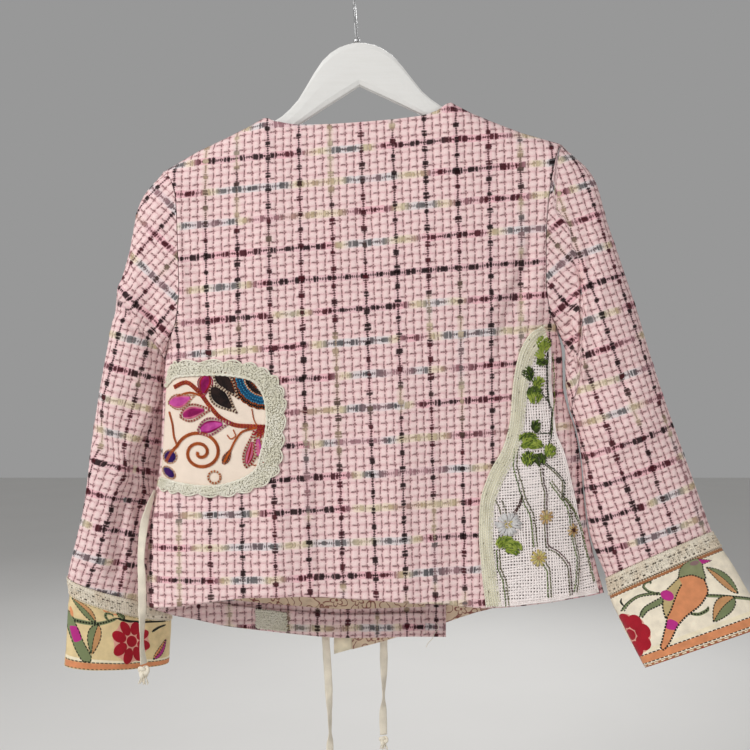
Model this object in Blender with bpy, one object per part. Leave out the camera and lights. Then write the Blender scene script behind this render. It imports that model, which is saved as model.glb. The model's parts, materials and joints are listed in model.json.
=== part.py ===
# Patchwork jacket on its hanger: the solids of the part, at real size.
# Every table is in millimetres. +Z is up, the photographed back faces -Y, and +X is right in the photo.
# The origin is the point inside the top of the hanger's hook where a rail would carry it.
import math

import bpy
import numpy as np
from mathutils import Vector
from mathutils.bvhtree import BVHTree

MM = 0.001

# Cloth and seams
TWEED = 2.2
COTTON = 1.6
SILK = 0.8
LINEN = 1.0
CROCHET = 1.8
SEAM = 0.2
ARM_SEAM = 0.75
RING_SEAM = 0.4
LAID_GAP = 0.75
LINING_GAP = 0.88

# Rows and columns of the panels
ARM_ROWS = 10
SIDE_ROWS = 12
SLEEVE_RINGS = 18
LINING_ROWS = list(range(ARM_ROWS + 1, ARM_ROWS + SIDE_ROWS + 1))
# Shares of the way across: along one shoulder, across the neck, and across a whole front
SHOULDER_SHARES = [0.0, 0.05, 0.12, 0.22, 0.36, 0.55, 0.77, 1.0]
NECK_SHARES = [0.025, 0.08, 0.18, 0.32, 0.46, 0.6, 0.74, 0.86, 0.94, 0.975]
FRONT_SHARES = [0.0, 0.03, 0.075, 0.15, 0.24, 0.34, 0.44, 0.54, 0.64, 0.74, 0.84, 0.93, 1.0]

# Depth of the hanging body
SHOULDER_HALF = 10.5
SHOULDER_FALL = 5.0
NECK_HALF = 11.0
NECK_RAMP = 6.0
ARM_HALF = 22.0
ARM_FALL = 12.0
UNDERARM_FALL = 16.0
BACK_SIDE_FALL = 45.0
FRONT_SIDE_FALL = 28.0
OVERLAP = 7.0
OVERLAP_FROM = 120.0
OVERLAP_TO = 190.0

# Left and right edge of the body: the armhole, then the side seam
# z, x
LEFT_EDGE = [
    (-211.9, -203.5), (-225.0, -193.0), (-247.5, -187.0), (-300.7, -184.9), (-343.2, -183.8),
    (-374.9, -187.8), (-390.0, -194.0), (-401.0, -200.3), (-433.6, -204.6), (-460.8, -205.7),
    (-515.1, -207.9), (-558.6, -213.3), (-602.1, -219.8), (-645.5, -223.1), (-686.3, -223.1),
]
RIGHT_EDGE = [
    (-182.6, 225.7), (-200.0, 217.5), (-221.9, 212.9), (-252.8, 208.7), (-290.0, 206.6),
    (-332.6, 206.6), (-356.0, 209.5), (-372.0, 214.8), (-384.7, 222.5), (-411.9, 227.9),
    (-446.7, 229.0), (-467.3, 233.3), (-495.6, 242.6), (-530.3, 248.5), (-557.5, 250.7),
    (-596.6, 255.1), (-639.0, 264.8), (-670.0, 273.5),
]
LEFT_UNDERARM = -401.0
RIGHT_UNDERARM = -384.7

# Shoulders and back neck, from the left shoulder tip to the right one
# x, z
TOP_EDGE = [
    (-203.5, -211.9), (-167.7, -190.8), (-135.1, -175.3), (-110.1, -162.5), (-96.0, -154.3),
    (-85.2, -160.0), (-60.3, -164.4), (-23.7, -163.7), (8.5, -161.6), (46.2, -158.4),
    (75.2, -154.6), (91.5, -149.2), (107.3, -137.5), (129.4, -149.1), (152.9, -158.7),
    (183.8, -170.6), (225.7, -182.6),
]
LEFT_NECK = (-96.0, -154.3)
RIGHT_NECK = (107.3, -137.5)

# x, z
BACK_HEM = [
    (-223.1, -686.3), (-182.7, -679.3), (-134.8, -670.4), (-96.8, -666.0), (-60.1, -665.3),
    (-1.4, -667.6), (80.9, -672.1), (142.3, -677.4), (206.1, -673.7), (239.5, -670.8), (273.5, -670.0),
]
LEFT_FRONT_HEM = [
    (-223.1, -686.3), (-200.6, -701.1), (-175.9, -709.2), (-146.9, -717.4), (-109.1, -723.9),
    (-60.6, -728.1), (5.3, -732.1), (105.3, -731.0),
]
RIGHT_FRONT_HEM = [
    (-22.3, -751.6), (35.0, -737.2), (104.6, -716.3), (148.4, -701.5), (209.5, -687.9), (273.5, -670.0),
]

# Neckline and front edge of each front, from the neck point down to the hem
# z, x
LEFT_FRONT_EDGE = [
    (-154.3, -96.0), (-185.0, -87.0), (-235.0, -56.0), (-290.0, 0.0), (-340.0, 55.0),
    (-385.0, 92.0), (-430.0, 104.0), (-520.0, 105.3), (-731.0, 105.3),
]
RIGHT_FRONT_EDGE = [
    (-137.5, 107.3), (-170.0, 99.0), (-220.0, 74.0), (-275.0, 26.0), (-330.0, -9.0),
    (-375.0, -20.0), (-420.0, -22.3), (-520.0, -22.3), (-751.6, -22.3),
]

# How much deeper the body is, below the shoulder line
# distance below, back, front
BODY_DEPTH = [
    (0.0, 0.0, 0.0), (40.0, 5.0, 8.0), (120.0, 16.0, 20.0), (220.0, 23.0, 28.0),
    (380.0, 27.0, 34.0), (560.0, 33.0, 38.0),
]

# Folds of the body, each a soft ridge along a line, or a trough where its height is negative
# x at top, z at top, x at foot, z at foot, half width, height
BACK_FOLDS = [
    (-62.0, -420.0, -84.0, -690.0, 20.0, 4.0),
    (-20.0, -470.0, -28.0, -690.0, 24.0, -3.5),
    (38.0, -380.0, 58.0, -690.0, 22.0, 4.0),
    (96.0, -440.0, 112.0, -690.0, 18.0, -3.5),
    (-176.0, -290.0, -150.0, -400.0, 12.0, -3.0),
    (196.0, -280.0, 168.0, -390.0, 12.0, -3.0),
]
FRONT_FOLDS = [
    (-80.0, -330.0, -110.0, -740.0, 24.0, 3.5),
    (-20.0, -400.0, -34.0, -760.0, 22.0, -3.0),
    (60.0, -400.0, 66.0, -760.0, 22.0, 3.0),
    (150.0, -330.0, 176.0, -730.0, 20.0, 3.5),
]

# Stations down each sleeve: outer edge, inner edge, half depth, and how far the far side hangs
# outer x, outer z, inner x, inner y, inner z, half depth, drop of the far side per mm
LEFT_SLEEVE = [
    (-203.5, -211.9, -200.3, 0.0, -401.0, 22.0, 0.0),
    (-230.0, -246.0, -205.0, 12.0, -425.0, 25.0, 0.0),
    (-242.0, -300.0, -207.5, 24.0, -455.0, 28.0, 0.0),
    (-254.0, -343.0, -208.0, 32.0, -485.0, 29.0, 0.0),
    (-264.0, -392.0, -210.0, 40.0, -520.0, 29.0, 0.0),
    (-273.0, -441.0, -213.0, 48.0, -556.0, 28.0, 0.0),
    (-283.0, -505.0, -213.0, 55.0, -600.0, 27.0, 0.0),
    (-291.5, -575.0, -212.0, 60.0, -650.0, 26.0, 0.0),
    (-309.0, -654.0, -210.5, 62.0, -693.9, 25.0, 0.0),
    (-307.3, -671.1, -210.3, 62.0, -712.4, 24.0, 0.0),
    (-313.3, -749.9, -213.1, 62.0, -762.6, 23.0, 0.0),
]
RIGHT_SLEEVE = [
    (225.7, -182.6, 222.5, 0.0, -384.7, 22.0, 0.0),
    (262.0, -219.0, 231.5, 0.0, -410.0, 25.0, 0.0),
    (276.5, -267.0, 233.5, 0.0, -440.0, 28.0, 0.0),
    (292.5, -315.0, 238.0, 0.0, -466.0, 29.0, 0.0),
    (309.5, -366.0, 246.5, 0.0, -494.0, 29.0, 0.05),
    (326.0, -420.0, 252.5, 0.0, -528.0, 28.0, 0.12),
    (346.0, -480.0, 255.5, 0.0, -562.0, 27.0, 0.2),
    (368.0, -541.0, 261.0, 0.0, -607.0, 26.0, 0.3),
    (390.9, -604.2, 276.0, 0.0, -654.2, 25.0, 0.38),
    (400.7, -620.5, 279.5, 0.0, -672.7, 24.0, 0.38),
    (452.8, -705.3, 317.5, 0.0, -752.0, 23.0, 0.38),
]
CAP_ENDS_AT = 2.6
SEAM_FADES_AT = 0.28
LACE_STATION = 8
CUFF_STATION = 9
CUFF_END = 10

# Creases of the sleeves: station and angle at each end, half width in degrees, height
# station from, angle from, station to, angle to, half width, height
LEFT_CREASES = [
    (1.2, 150.0, 2.6, 60.0, 16.0, -5.0),
    (0.8, 60.0, 3.4, 75.0, 14.0, 3.5),
    (3.0, 160.0, 4.6, 95.0, 16.0, -5.0),
    (4.4, 40.0, 5.6, 120.0, 15.0, -4.0),
    (2.0, -150.0, 3.4, -70.0, 16.0, -4.0),
    (5.6, 150.0, 7.0, 80.0, 16.0, 4.0),
    (6.2, -120.0, 7.6, -70.0, 18.0, -3.0),
]
RIGHT_CREASES = [
    (0.2, 66.0, 2.6, 120.0, 9.0, -6.0),
    (0.2, 44.0, 2.4, 92.0, 9.0, 4.0),
    (3.0, 140.0, 4.8, 70.0, 15.0, -5.0),
    (4.6, 130.0, 6.0, 60.0, 15.0, 3.5),
    (5.8, 110.0, 7.4, 50.0, 15.0, -4.0),
    (1.6, -140.0, 3.2, -60.0, 16.0, -4.0),
    (5.0, -120.0, 6.6, -60.0, 16.0, -3.0),
]

# Floral patch: its border runs from the side seam round the right and back to the side seam
# x, z
BORDER_OUTER = [
    (-196.0, -423.0), (-187.6, -416.6), (-137.9, -415.8), (-101.0, -420.0), (-77.7, -438.8),
    (-69.4, -465.0), (-71.4, -501.5), (-76.7, -532.9), (-106.2, -554.0), (-143.2, -560.5),
    (-186.0, -558.8), (-208.0, -556.0),
]
BORDER_INNER = [
    (-201.0, -447.0), (-186.0, -435.7), (-143.2, -433.6), (-106.2, -438.8), (-91.4, -457.8),
    (-88.5, -480.0), (-92.0, -506.0), (-101.0, -528.0), (-121.9, -541.5), (-150.0, -547.0),
    (-180.0, -545.0), (-205.5, -540.0),
]
SCALLOPS = 21
SCALLOP_DEPTH = 1.6
BORDER_RISE = 0.7
SCALLOP_RISE = 0.9
PATCH_SHRINK = 0.985

# Linen side patch: its ribbon binding, then the edge of the linen next to the side seam
# outer x, outer z, inner x, inner z
BINDING = [
    (205.0, -380.0, 209.0, -397.0), (190.3, -390.3, 200.5, -405.0), (177.8, -412.6, 190.7, -419.9),
    (171.2, -444.1, 184.8, -449.3), (167.8, -480.6, 180.3, -485.9), (160.5, -508.8, 172.0, -517.2),
    (144.7, -538.0, 156.1, -547.4), (135.2, -569.2, 147.7, -574.4), (134.0, -600.3, 146.5, -605.5),
    (137.0, -641.7, 150.6, -646.9), (141.0, -675.0, 154.8, -674.6),
]
# z, x
LINEN_EDGE = [
    (-399.0, 213.7), (-460.4, 215.5), (-494.6, 218.3), (-514.0, 226.2), (-546.4, 235.2),
    (-589.7, 245.3), (-633.1, 256.0), (-668.0, 266.0),
]

RIBBON_RISE = 0.7
HEM_INSET = 3.0
FACING_FROM = 0.015
FACING_TO = 0.95
SCRAP_LEFT = -110.0
SCRAP_RIGHT = -76.0
SCRAP_RISE = 22.0

# Tapes that tie the jacket: points of the middle of each tape, and how its face is turned there
# x, y, z, turn in degrees
SIDE_TIE = [
    (-214.5, -0.6, -559.0, 90.0), (-219.2, -5.2, -574.0, 60.0), (-224.0, -8.2, -594.0, 20.0),
    (-226.5, -8.5, -614.0, -10.0), (-227.6, -8.5, -634.0, -20.0), (-226.4, -8.5, -656.0, 10.0),
    (-226.2, -8.5, -680.0, 20.0), (-226.4, -8.5, -702.0, 60.0), (-226.6, -8.5, -724.0, 75.0),
    (-224.6, -8.5, -745.0, 50.0),
]
RIGHT_FRONT_TIE = [
    (-26.6, 51.4, -560.0, 0.0), (-27.5, 52.0, -582.0, 0.0), (-30.0, 53.0, -606.0, 0.0),
    (-31.2, 54.2, -630.0, 0.0), (-32.2, 55.2, -655.0, 0.0), (-32.4, 55.8, -680.0, 0.0),
    (-32.4, 56.2, -705.0, 0.0), (-32.0, 56.5, -730.0, 0.0), (-30.6, 56.6, -755.0, 0.0),
    (-29.0, 56.6, -780.0, 0.0), (-28.0, 56.6, -802.0, 20.0), (-27.2, 56.6, -822.0, 60.0),
    (-26.8, 56.6, -842.0, 70.0), (-27.0, 56.6, -862.0, 20.0), (-27.0, 56.6, -880.0, 30.0),
]
OUTER_FRONT_TIE = [
    (33.0, 58.4, -560.0, 0.0), (33.0, 60.4, -585.0, 0.0), (33.2, 61.4, -610.0, 0.0),
    (33.4, 61.5, -635.0, 0.0), (33.8, 62.0, -660.0, 0.0), (34.0, 62.5, -685.0, 0.0),
    (34.4, 62.5, -710.0, 0.0), (34.6, 62.5, -735.0, 0.0), (34.8, 62.5, -760.0, 10.0),
    (35.0, 62.5, -782.0, 40.0), (34.6, 62.5, -802.0, 70.0), (34.0, 62.5, -824.0, 20.0),
    (34.6, 62.5, -848.0, 10.0),
]
TAPE_HALF_WIDTH = 4.4
TAPE_HALF_THICKNESS = 0.7
TAPE_TURN = 13.0
KNOT_HALF = (5.5, 4.5, 8.5)
KNOT_GAP = 0.5

# Hanger, in its own upright frame, which hangs turned about the hook
HANGER_TURN = 3.8
HANGER_HALF_THICKNESS = 6.0
# distance from the middle, top, bottom
HANGER_OUTLINE = [
    (0.0, -72.4, -120.6), (13.0, -74.4, -127.9), (26.0, -79.8, -134.9), (39.0, -90.2, -142.0),
    (47.5, -101.3, -146.7), (55.0, -112.0, -150.8), (62.5, -124.6, -154.9), (75.0, -138.4, -161.8),
    (88.0, -148.7, -168.8), (100.0, -154.6, -175.4), (120.0, -163.8, -185.0), (145.0, -175.3, -196.0),
    (175.0, -189.3, -209.0), (196.0, -198.6, -216.5), (204.0, -204.5, -216.0),
]
WIRE = 3.5
LOOP_RADIUS = 20.75
LOOP_FROM = -48.0
LOOP_TO = 205.0
SHANK_TOP = -50.0
FERRULE_TOP = -66.0
FERRULE_RADIUS = 3.6


def material(name, colour, roughness, metallic=0.0):
    made = bpy.data.materials.new(name)
    made.use_nodes = True
    shader = made.node_tree.nodes["Principled BSDF"]
    shader.inputs["Base Color"].default_value = (*colour, 1.0)
    shader.inputs["Roughness"].default_value = roughness
    shader.inputs["Metallic"].default_value = metallic
    return made


def smooth_value(xs, ys, at):
    """A smooth curve through the rows that never swings past them."""
    xs = np.asarray(xs, float)
    ys = np.asarray(ys, float)
    if xs[0] > xs[-1]:
        xs = xs[::-1]
        ys = ys[::-1]
    steps = np.diff(xs)
    slopes = np.diff(ys) / steps
    tangents = np.zeros(len(xs))
    tangents[0] = slopes[0]
    tangents[-1] = slopes[-1]
    before = slopes[:-1]
    after = slopes[1:]
    same = before * after > 0
    safe = np.where(same, before + after, 1.0)
    tangents[1:-1] = np.where(same, 2 * before * after / safe, 0.0)
    at = np.clip(np.asarray(at, float), xs[0], xs[-1])
    part = np.clip(np.searchsorted(xs, at, side="right") - 1, 0, len(xs) - 2)
    t = (at - xs[part]) / steps[part]
    return (
        (1 + 2 * t) * (1 - t) ** 2 * ys[part]
        + t * (1 - t) ** 2 * steps[part] * tangents[part]
        + t * t * (3 - 2 * t) * ys[part + 1]
        + t * t * (t - 1) * steps[part] * tangents[part + 1]
    )


def column_value(table, key, value, at):
    return smooth_value([row[key] for row in table], [row[value] for row in table], at)


def along_rows(table, column, at):
    return smooth_value(range(len(table)), [row[column] for row in table], at)


def ramp(value):
    value = np.clip(value, 0.0, 1.0)
    return value * value * (3 - 2 * value)


def left_edge(z):
    return column_value(LEFT_EDGE, 0, 1, z)


def right_edge(z):
    return column_value(RIGHT_EDGE, 0, 1, z)


def top_edge(x):
    return np.interp(x, [row[0] for row in TOP_EDGE], [row[1] for row in TOP_EDGE])


def shoulder_line(x):
    """The shoulders, joined straight across the neck."""
    across = np.interp(x, [LEFT_NECK[0], RIGHT_NECK[0]], [LEFT_NECK[1], RIGHT_NECK[1]])
    inside = (x > LEFT_NECK[0]) & (x < RIGHT_NECK[0])
    return np.where(inside, across, top_edge(x))


def folds(table, x, z):
    total = np.zeros(np.shape(x))
    for top_x, top_z, foot_x, foot_z, half, height in table:
        way = (z - top_z) / (foot_z - top_z)
        middle = top_x + (foot_x - top_x) * np.clip(way, 0.0, 1.0)
        total = total + height * np.exp(-(((x - middle) / half) ** 2)) * ramp(way * 3) * ramp((1.3 - way) * 4)
    return total


def body_depth(x, z, line, side_fall, column, neck, fold_rows):
    """How far the cloth stands from the plane of the seams."""
    below = np.maximum(line(x) - z, 0.0)
    from_left = np.maximum(x - left_edge(z), 0.0)
    from_right = np.maximum(right_edge(z) - x, 0.0)
    near_left = np.exp(-from_left / side_fall)
    near_right = np.exp(-from_right / side_fall)
    shoulder = SHOULDER_HALF * (1 - np.exp(-below / SHOULDER_FALL))
    middle = neck * NECK_HALF + (1 - neck) * shoulder + column_value(BODY_DEPTH, 0, column, below)
    arm = ARM_HALF * (1 - np.exp(-below / ARM_FALL))
    over_left = 1 - np.exp(-np.maximum(z - LEFT_UNDERARM, 0.0) / UNDERARM_FALL)
    over_right = 1 - np.exp(-np.maximum(z - RIGHT_UNDERARM, 0.0) / UNDERARM_FALL)
    inside = (1 - near_left) * (1 - near_right)
    folded = folds(fold_rows, x, z) * ramp(from_left / 25) * ramp(from_right / 25) * ramp(below / 60)
    return middle * inside + arm * (near_left * over_left + near_right * over_right) + folded


def back_y(x, z):
    edge = np.minimum(x - LEFT_NECK[0], RIGHT_NECK[0] - x)
    neck = ramp(edge / NECK_RAMP)
    return -SEAM - body_depth(x, z, top_edge, BACK_SIDE_FALL, 1, neck, BACK_FOLDS)


def left_front_y(x, z):
    return SEAM + body_depth(x, z, shoulder_line, FRONT_SIDE_FALL, 2, 0.0, FRONT_FOLDS)


def right_front_y(x, z):
    lift = ramp((OVERLAP_TO - x) / (OVERLAP_TO - OVERLAP_FROM)) * ramp((shoulder_line(x) - z) / 120)
    return left_front_y(x, z) + OVERLAP * lift


def on_surface(surface, x, z, out):
    """Points at the given distance outside the surface, the inside being nearer the plane of the seams."""
    step = 0.5
    y = surface(x, z)
    slope_x = (surface(x + step, z) - surface(x - step, z)) / (2 * step)
    slope_z = (surface(x, z + step) - surface(x, z - step)) / (2 * step)
    away = np.stack([-slope_x, np.ones(np.shape(y)), -slope_z], axis=-1)
    away /= np.linalg.norm(away, axis=-1, keepdims=True)
    if surface is back_y:
        away = -away
    return np.stack([x, y, z], axis=-1) + away * np.asarray(out)[..., None]


def row_heights(tip, underarm, hem):
    """Heights of the rows at a side edge: close together at both ends of the armhole."""
    turn = np.arange(ARM_ROWS + 1) * math.pi / ARM_ROWS
    arm = tip + (underarm - tip) * (1 - np.cos(turn)) / 2
    side = underarm + (hem - underarm) * np.arange(1, SIDE_ROWS + 1) / SIDE_ROWS
    return np.concatenate([arm, side])


def armhole(edge, tip, underarm, facing):
    """Points down one half of the armhole seam, and the way its wall goes inwards at each."""
    z = row_heights(tip, underarm, underarm - 1)[: ARM_ROWS + 1]
    x = edge(z)
    surface = back_y if facing < 0 else left_front_y
    y = surface(x, z)
    y[0] = facing * SEAM
    y[-1] = facing * SEAM
    points = np.stack([x, y, z], axis=-1)
    inwards = np.zeros_like(points)
    along = points[2:] - points[:-2]
    inwards[1:-1, 1] = along[:, 2] * facing
    inwards[1:-1, 2] = -along[:, 1] * facing
    inwards /= np.maximum(np.linalg.norm(inwards, axis=1, keepdims=True), 1e-6)
    inwards[0] = (0, 0, -1)
    inwards[-1] = (0, 0, 1)
    return points, inwards


def new_object(name, vertices, faces, paint, smooth=True):
    mesh = bpy.data.meshes.new(name)
    mesh.from_pydata([tuple(point) for point in np.asarray(vertices) * MM], [], faces)
    mesh.validate()
    mesh.update()
    mesh.materials.append(paint)
    if smooth:
        mesh.shade_smooth()
        mesh.set_sharp_from_angle(angle=math.radians(50))
    made = bpy.data.objects.new(name, mesh)
    bpy.context.scene.collection.objects.link(made)
    return made


def signed_volume(vertices, faces):
    total = 0.0
    for a, b, c, d in faces:
        total += np.dot(vertices[a], np.cross(vertices[b], vertices[c]))
        total += np.dot(vertices[a], np.cross(vertices[c], vertices[d]))
    return total


def wall(name, outer, inner, paint, wrap=False):
    """A closed wall between two grids of points, joined along their edges."""
    rows, columns = outer.shape[:2]
    vertices = np.concatenate([outer.reshape(-1, 3), inner.reshape(-1, 3)])
    other = rows * columns

    def at(row, column):
        return row * columns + column % columns

    faces = []
    for row in range(rows - 1):
        for column in range(columns if wrap else columns - 1):
            quad = (at(row, column), at(row, column + 1), at(row + 1, column + 1), at(row + 1, column))
            faces.append(quad)
            faces.append(tuple(other + corner for corner in reversed(quad)))
    for column in range(columns if wrap else columns - 1):
        start, end = at(0, column), at(0, column + 1)
        faces.append((end, start, other + start, other + end))
        start, end = at(rows - 1, column), at(rows - 1, column + 1)
        faces.append((start, end, other + end, other + start))
    if not wrap:
        for row in range(rows - 1):
            start, end = at(row, 0), at(row + 1, 0)
            faces.append((start, end, other + end, other + start))
            start, end = at(row, columns - 1), at(row + 1, columns - 1)
            faces.append((end, start, other + start, other + end))
    if signed_volume(vertices, faces) < 0:
        faces = [tuple(reversed(face)) for face in faces]
    return new_object(name, vertices, faces, paint)


def panel_grid(left, right, left_heights, right_heights, top, foot, shares):
    """Places across and down a panel, ruled between its two side edges."""
    across = np.asarray(shares)
    left_x = left(left_heights)
    right_x = right(right_heights)
    left_way = (left_heights - left_heights[0]) / (left_heights[-1] - left_heights[0])
    right_way = (right_heights - right_heights[0]) / (right_heights[-1] - right_heights[0])
    x = left_x[:, None] * (1 - across) + right_x[:, None] * across
    way = left_way[:, None] * (1 - across) + right_way[:, None] * across
    z = (1 - way) * top(x[0]) + way * foot(x[-1])
    return x, z


def back_panel(paint):
    tips = LEFT_EDGE[0][0], RIGHT_EDGE[0][0]
    left_heights = row_heights(tips[0], LEFT_UNDERARM, LEFT_EDGE[-1][0])
    right_heights = row_heights(tips[1], RIGHT_UNDERARM, RIGHT_EDGE[-1][0])
    width = RIGHT_EDGE[0][1] - LEFT_EDGE[0][1]
    left_share = (LEFT_NECK[0] - LEFT_EDGE[0][1]) / width
    right_share = (RIGHT_EDGE[0][1] - RIGHT_NECK[0]) / width
    shares = [share * left_share for share in SHOULDER_SHARES]
    shares += [left_share + share * (1 - left_share - right_share) for share in NECK_SHARES]
    shares += [1 - share * right_share for share in reversed(SHOULDER_SHARES)]

    def foot(x):
        return column_value(BACK_HEM, 0, 1, x)

    x, z = panel_grid(left_edge, right_edge, left_heights, right_heights, top_edge, foot, shares)
    outer = on_surface(back_y, x, z, np.zeros_like(x))
    inner = on_surface(back_y, x, z, np.full_like(x, -TWEED))
    on_seam = (x[0] <= LEFT_NECK[0] + 0.01) | (x[0] >= RIGHT_NECK[0] - 0.01)
    set_seams(outer, inner, on_seam, -1, (0, -1))
    return wall("back", outer, inner, paint)


def set_seams(outer, inner, on_shoulder, facing, sides):
    """Keeps the walls of two panels apart where they meet: in the plane of the seams and at the armholes."""
    down = np.array([0.0, 0.0, -TWEED])
    outer[0, on_shoulder, 1] = facing * SEAM
    inner[0, on_shoulder] = outer[0, on_shoulder] + down
    for column in sides:
        left = outer[0, column, 0] < 0
        edge = left_edge if left else right_edge
        table = LEFT_EDGE if left else RIGHT_EDGE
        underarm = LEFT_UNDERARM if left else RIGHT_UNDERARM
        points, inwards = armhole(edge, table[0][0], underarm, facing)
        outer[: ARM_ROWS + 1, column] = points
        inner[: ARM_ROWS + 1, column] = points + inwards * TWEED
        outer[ARM_ROWS + 1 :, column, 1] = facing * SEAM
        towards = np.array([TWEED if left else -TWEED, 0.0, 0.0])
        inner[ARM_ROWS + 1 :, column] = outer[ARM_ROWS + 1 :, column] + towards


def left_front_grid(shares):
    heights = row_heights(LEFT_EDGE[0][0], LEFT_UNDERARM, LEFT_EDGE[-1][0])
    way = (heights - heights[0]) / (heights[-1] - heights[0])
    front_heights = LEFT_NECK[1] + (LEFT_FRONT_EDGE[-1][0] - LEFT_NECK[1]) * way

    def front_edge(z):
        return column_value(LEFT_FRONT_EDGE, 0, 1, z)

    def foot(x):
        return column_value(LEFT_FRONT_HEM, 0, 1, x)

    return panel_grid(left_edge, front_edge, heights, front_heights, top_edge, foot, shares)


def right_front_grid(shares):
    heights = row_heights(RIGHT_EDGE[0][0], RIGHT_UNDERARM, RIGHT_EDGE[-1][0])
    way = (heights - heights[0]) / (heights[-1] - heights[0])
    front_heights = RIGHT_NECK[1] + (RIGHT_FRONT_EDGE[-1][0] - RIGHT_NECK[1]) * way

    def front_edge(z):
        return column_value(RIGHT_FRONT_EDGE, 0, 1, z)

    def foot(x):
        return column_value(RIGHT_FRONT_HEM, 0, 1, x)

    return panel_grid(right_edge, front_edge, heights, front_heights, top_edge, foot, shares)


def front_panel(name, grid, surface, paint):
    x, z = grid(FRONT_SHARES)
    outer = on_surface(surface, x, z, np.zeros_like(x))
    inner = on_surface(surface, x, z, np.full_like(x, -TWEED))
    set_seams(outer, inner, np.ones(x.shape[1], bool), 1, (0,))
    return wall(name, outer, inner, paint)


def front_lining(name, grid, surface, rows, paint):
    """The lining is made from the front's own points, moved in."""
    x, z = grid(FRONT_SHARES)
    x, z = x[rows][:, 1:-1], z[rows][:, 1:-1]
    depth = TWEED + LINING_GAP
    outer = on_surface(surface, x, z, np.full_like(x, -depth))
    inner = on_surface(surface, x, z, np.full_like(x, -depth - SILK))
    return wall(name, outer, inner, paint)


def left_facing(paint):
    """The hem is turned up inside, over the last row of the front."""
    x, z = left_front_grid(FRONT_SHARES)
    share = np.array([FACING_FROM, FACING_TO])[:, None]
    grid_x = (x[-2] * (1 - share) + x[-1] * share)[:, 1:-1]
    grid_z = (z[-2] * (1 - share) + z[-1] * share)[:, 1:-1]
    depth = TWEED + LINING_GAP
    outer = on_surface(left_front_y, grid_x, grid_z, np.full_like(grid_x, -depth))
    inner = on_surface(left_front_y, grid_x, grid_z, np.full_like(grid_x, -depth - COTTON))
    return wall("facing_left", outer, inner, paint)


def laid_on(name, base, x, z, from_y, towards, thickness, paint, raised=0.0):
    """A piece that lies on the face of another solid, found along Y, its own face raised where that is given."""
    mesh = base.data
    mesh.calc_loop_triangles()
    triangles = [tuple(face.vertices) for face in mesh.loop_triangles]
    tree = BVHTree.FromPolygons([vertex.co for vertex in mesh.vertices], triangles)
    laid = np.zeros((*x.shape, 3))
    for place in np.ndindex(x.shape):
        start = Vector((x[place] * MM, from_y * MM, z[place] * MM))
        hit = tree.ray_cast(start, Vector((0.0, towards, 0.0)))[0]
        laid[place] = np.array(hit) / MM
    down = np.gradient(laid, axis=0)
    across = np.gradient(laid, axis=1)
    away = np.cross(across, down)
    away /= np.linalg.norm(away, axis=-1, keepdims=True)
    away *= np.where(away[..., 1:2] * towards > 0, -1.0, 1.0)
    high = np.zeros_like(x) + LAID_GAP + thickness + raised
    outer = laid + away * high[..., None]
    inner = laid + away * LAID_GAP
    return wall(name, outer, inner, paint)


def hem_scrap(facing, paint):
    x = np.linspace(SCRAP_LEFT, SCRAP_RIGHT, 9)
    foot = column_value(LEFT_FRONT_HEM, 0, 1, x) + HEM_INSET
    share = np.linspace(1.0, 0.0, 4)[:, None]
    grid_x = np.repeat(x[None, :], 4, axis=0)
    grid_z = foot + SCRAP_RISE * share
    laid_on("crochet_scrap_on_facing", facing, grid_x, grid_z, 0.0, 1.0, CROCHET, paint)


def laid_on_back(name, back, x, z, thickness, paint, raised=0.0):
    return laid_on(name, back, x, z, -200.0, 1.0, thickness, paint, raised)


def table_points(table, count):
    """Evenly numbered points of a smooth line through the rows of a table."""
    at = np.linspace(0, len(table) - 1, count)
    return np.stack([along_rows(table, column, at) for column in range(len(table[0]))], axis=-1)


def patch_border(back, paint):
    count = SCALLOPS * 3 + 1
    outer = table_points(BORDER_OUTER, count)
    inner = table_points(BORDER_INNER, count)
    outwards = outer - inner
    outwards /= np.linalg.norm(outwards, axis=1, keepdims=True)
    scallop = np.abs(np.sin(np.arange(count) * math.pi * SCALLOPS / (count - 1)))
    outer = outer + outwards * ((scallop - 0.5) * SCALLOP_DEPTH)[:, None]
    shares = np.array([0.0, 0.5, 1.0])
    x = inner[:, 0, None] * (1 - shares) + outer[:, 0, None] * shares
    z = inner[:, 1, None] * (1 - shares) + outer[:, 1, None] * shares
    profile = np.array([0.0, 1.0, 0.0])
    raised = profile * (BORDER_RISE + SCALLOP_RISE * scallop[:, None])
    laid_on_back("floral_patch_border", back, x, z, CROCHET, paint, raised)


def floral_patch(back, paint):
    """The ground fills the border: rows run from its upper run to its lower one."""
    count = 13
    line = table_points(BORDER_INNER, 2 * count - 1)
    middle = line.mean(axis=0)
    line = middle + (line - middle) * PATCH_SHRINK
    upper = line[:count]
    lower = line[::-1][:count]
    shares = np.linspace(0, 1, 9)[:, None]
    x = upper[:, 0] * (1 - shares) + lower[:, 0] * shares
    z = upper[:, 1] * (1 - shares) + lower[:, 1] * shares
    keep = slice(0, count - 1)
    x, z = x[:, keep], z[:, keep]
    x[:, 0] = np.maximum(x[:, 0], left_edge(z[:, 0]) + 4)
    laid_on_back("floral_patch", back, x, z, LINEN, paint)


def side_patch(back, paint):
    binding = table_points(BINDING, 21)
    left_x = binding[:, 2] + LAID_GAP + 0.2
    left_z = binding[:, 3]
    right_z = np.linspace(LINEN_EDGE[0][0], LINEN_EDGE[-1][0], 21)
    right_x = column_value(LINEN_EDGE, 0, 1, right_z)
    shares = np.linspace(0, 1, 10)
    x = left_x[:, None] * (1 - shares) + right_x[:, None] * shares
    z = left_z[:, None] * (1 - shares) + right_z[:, None] * shares
    laid_on_back("side_patch", back, x, z, LINEN, paint)


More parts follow.
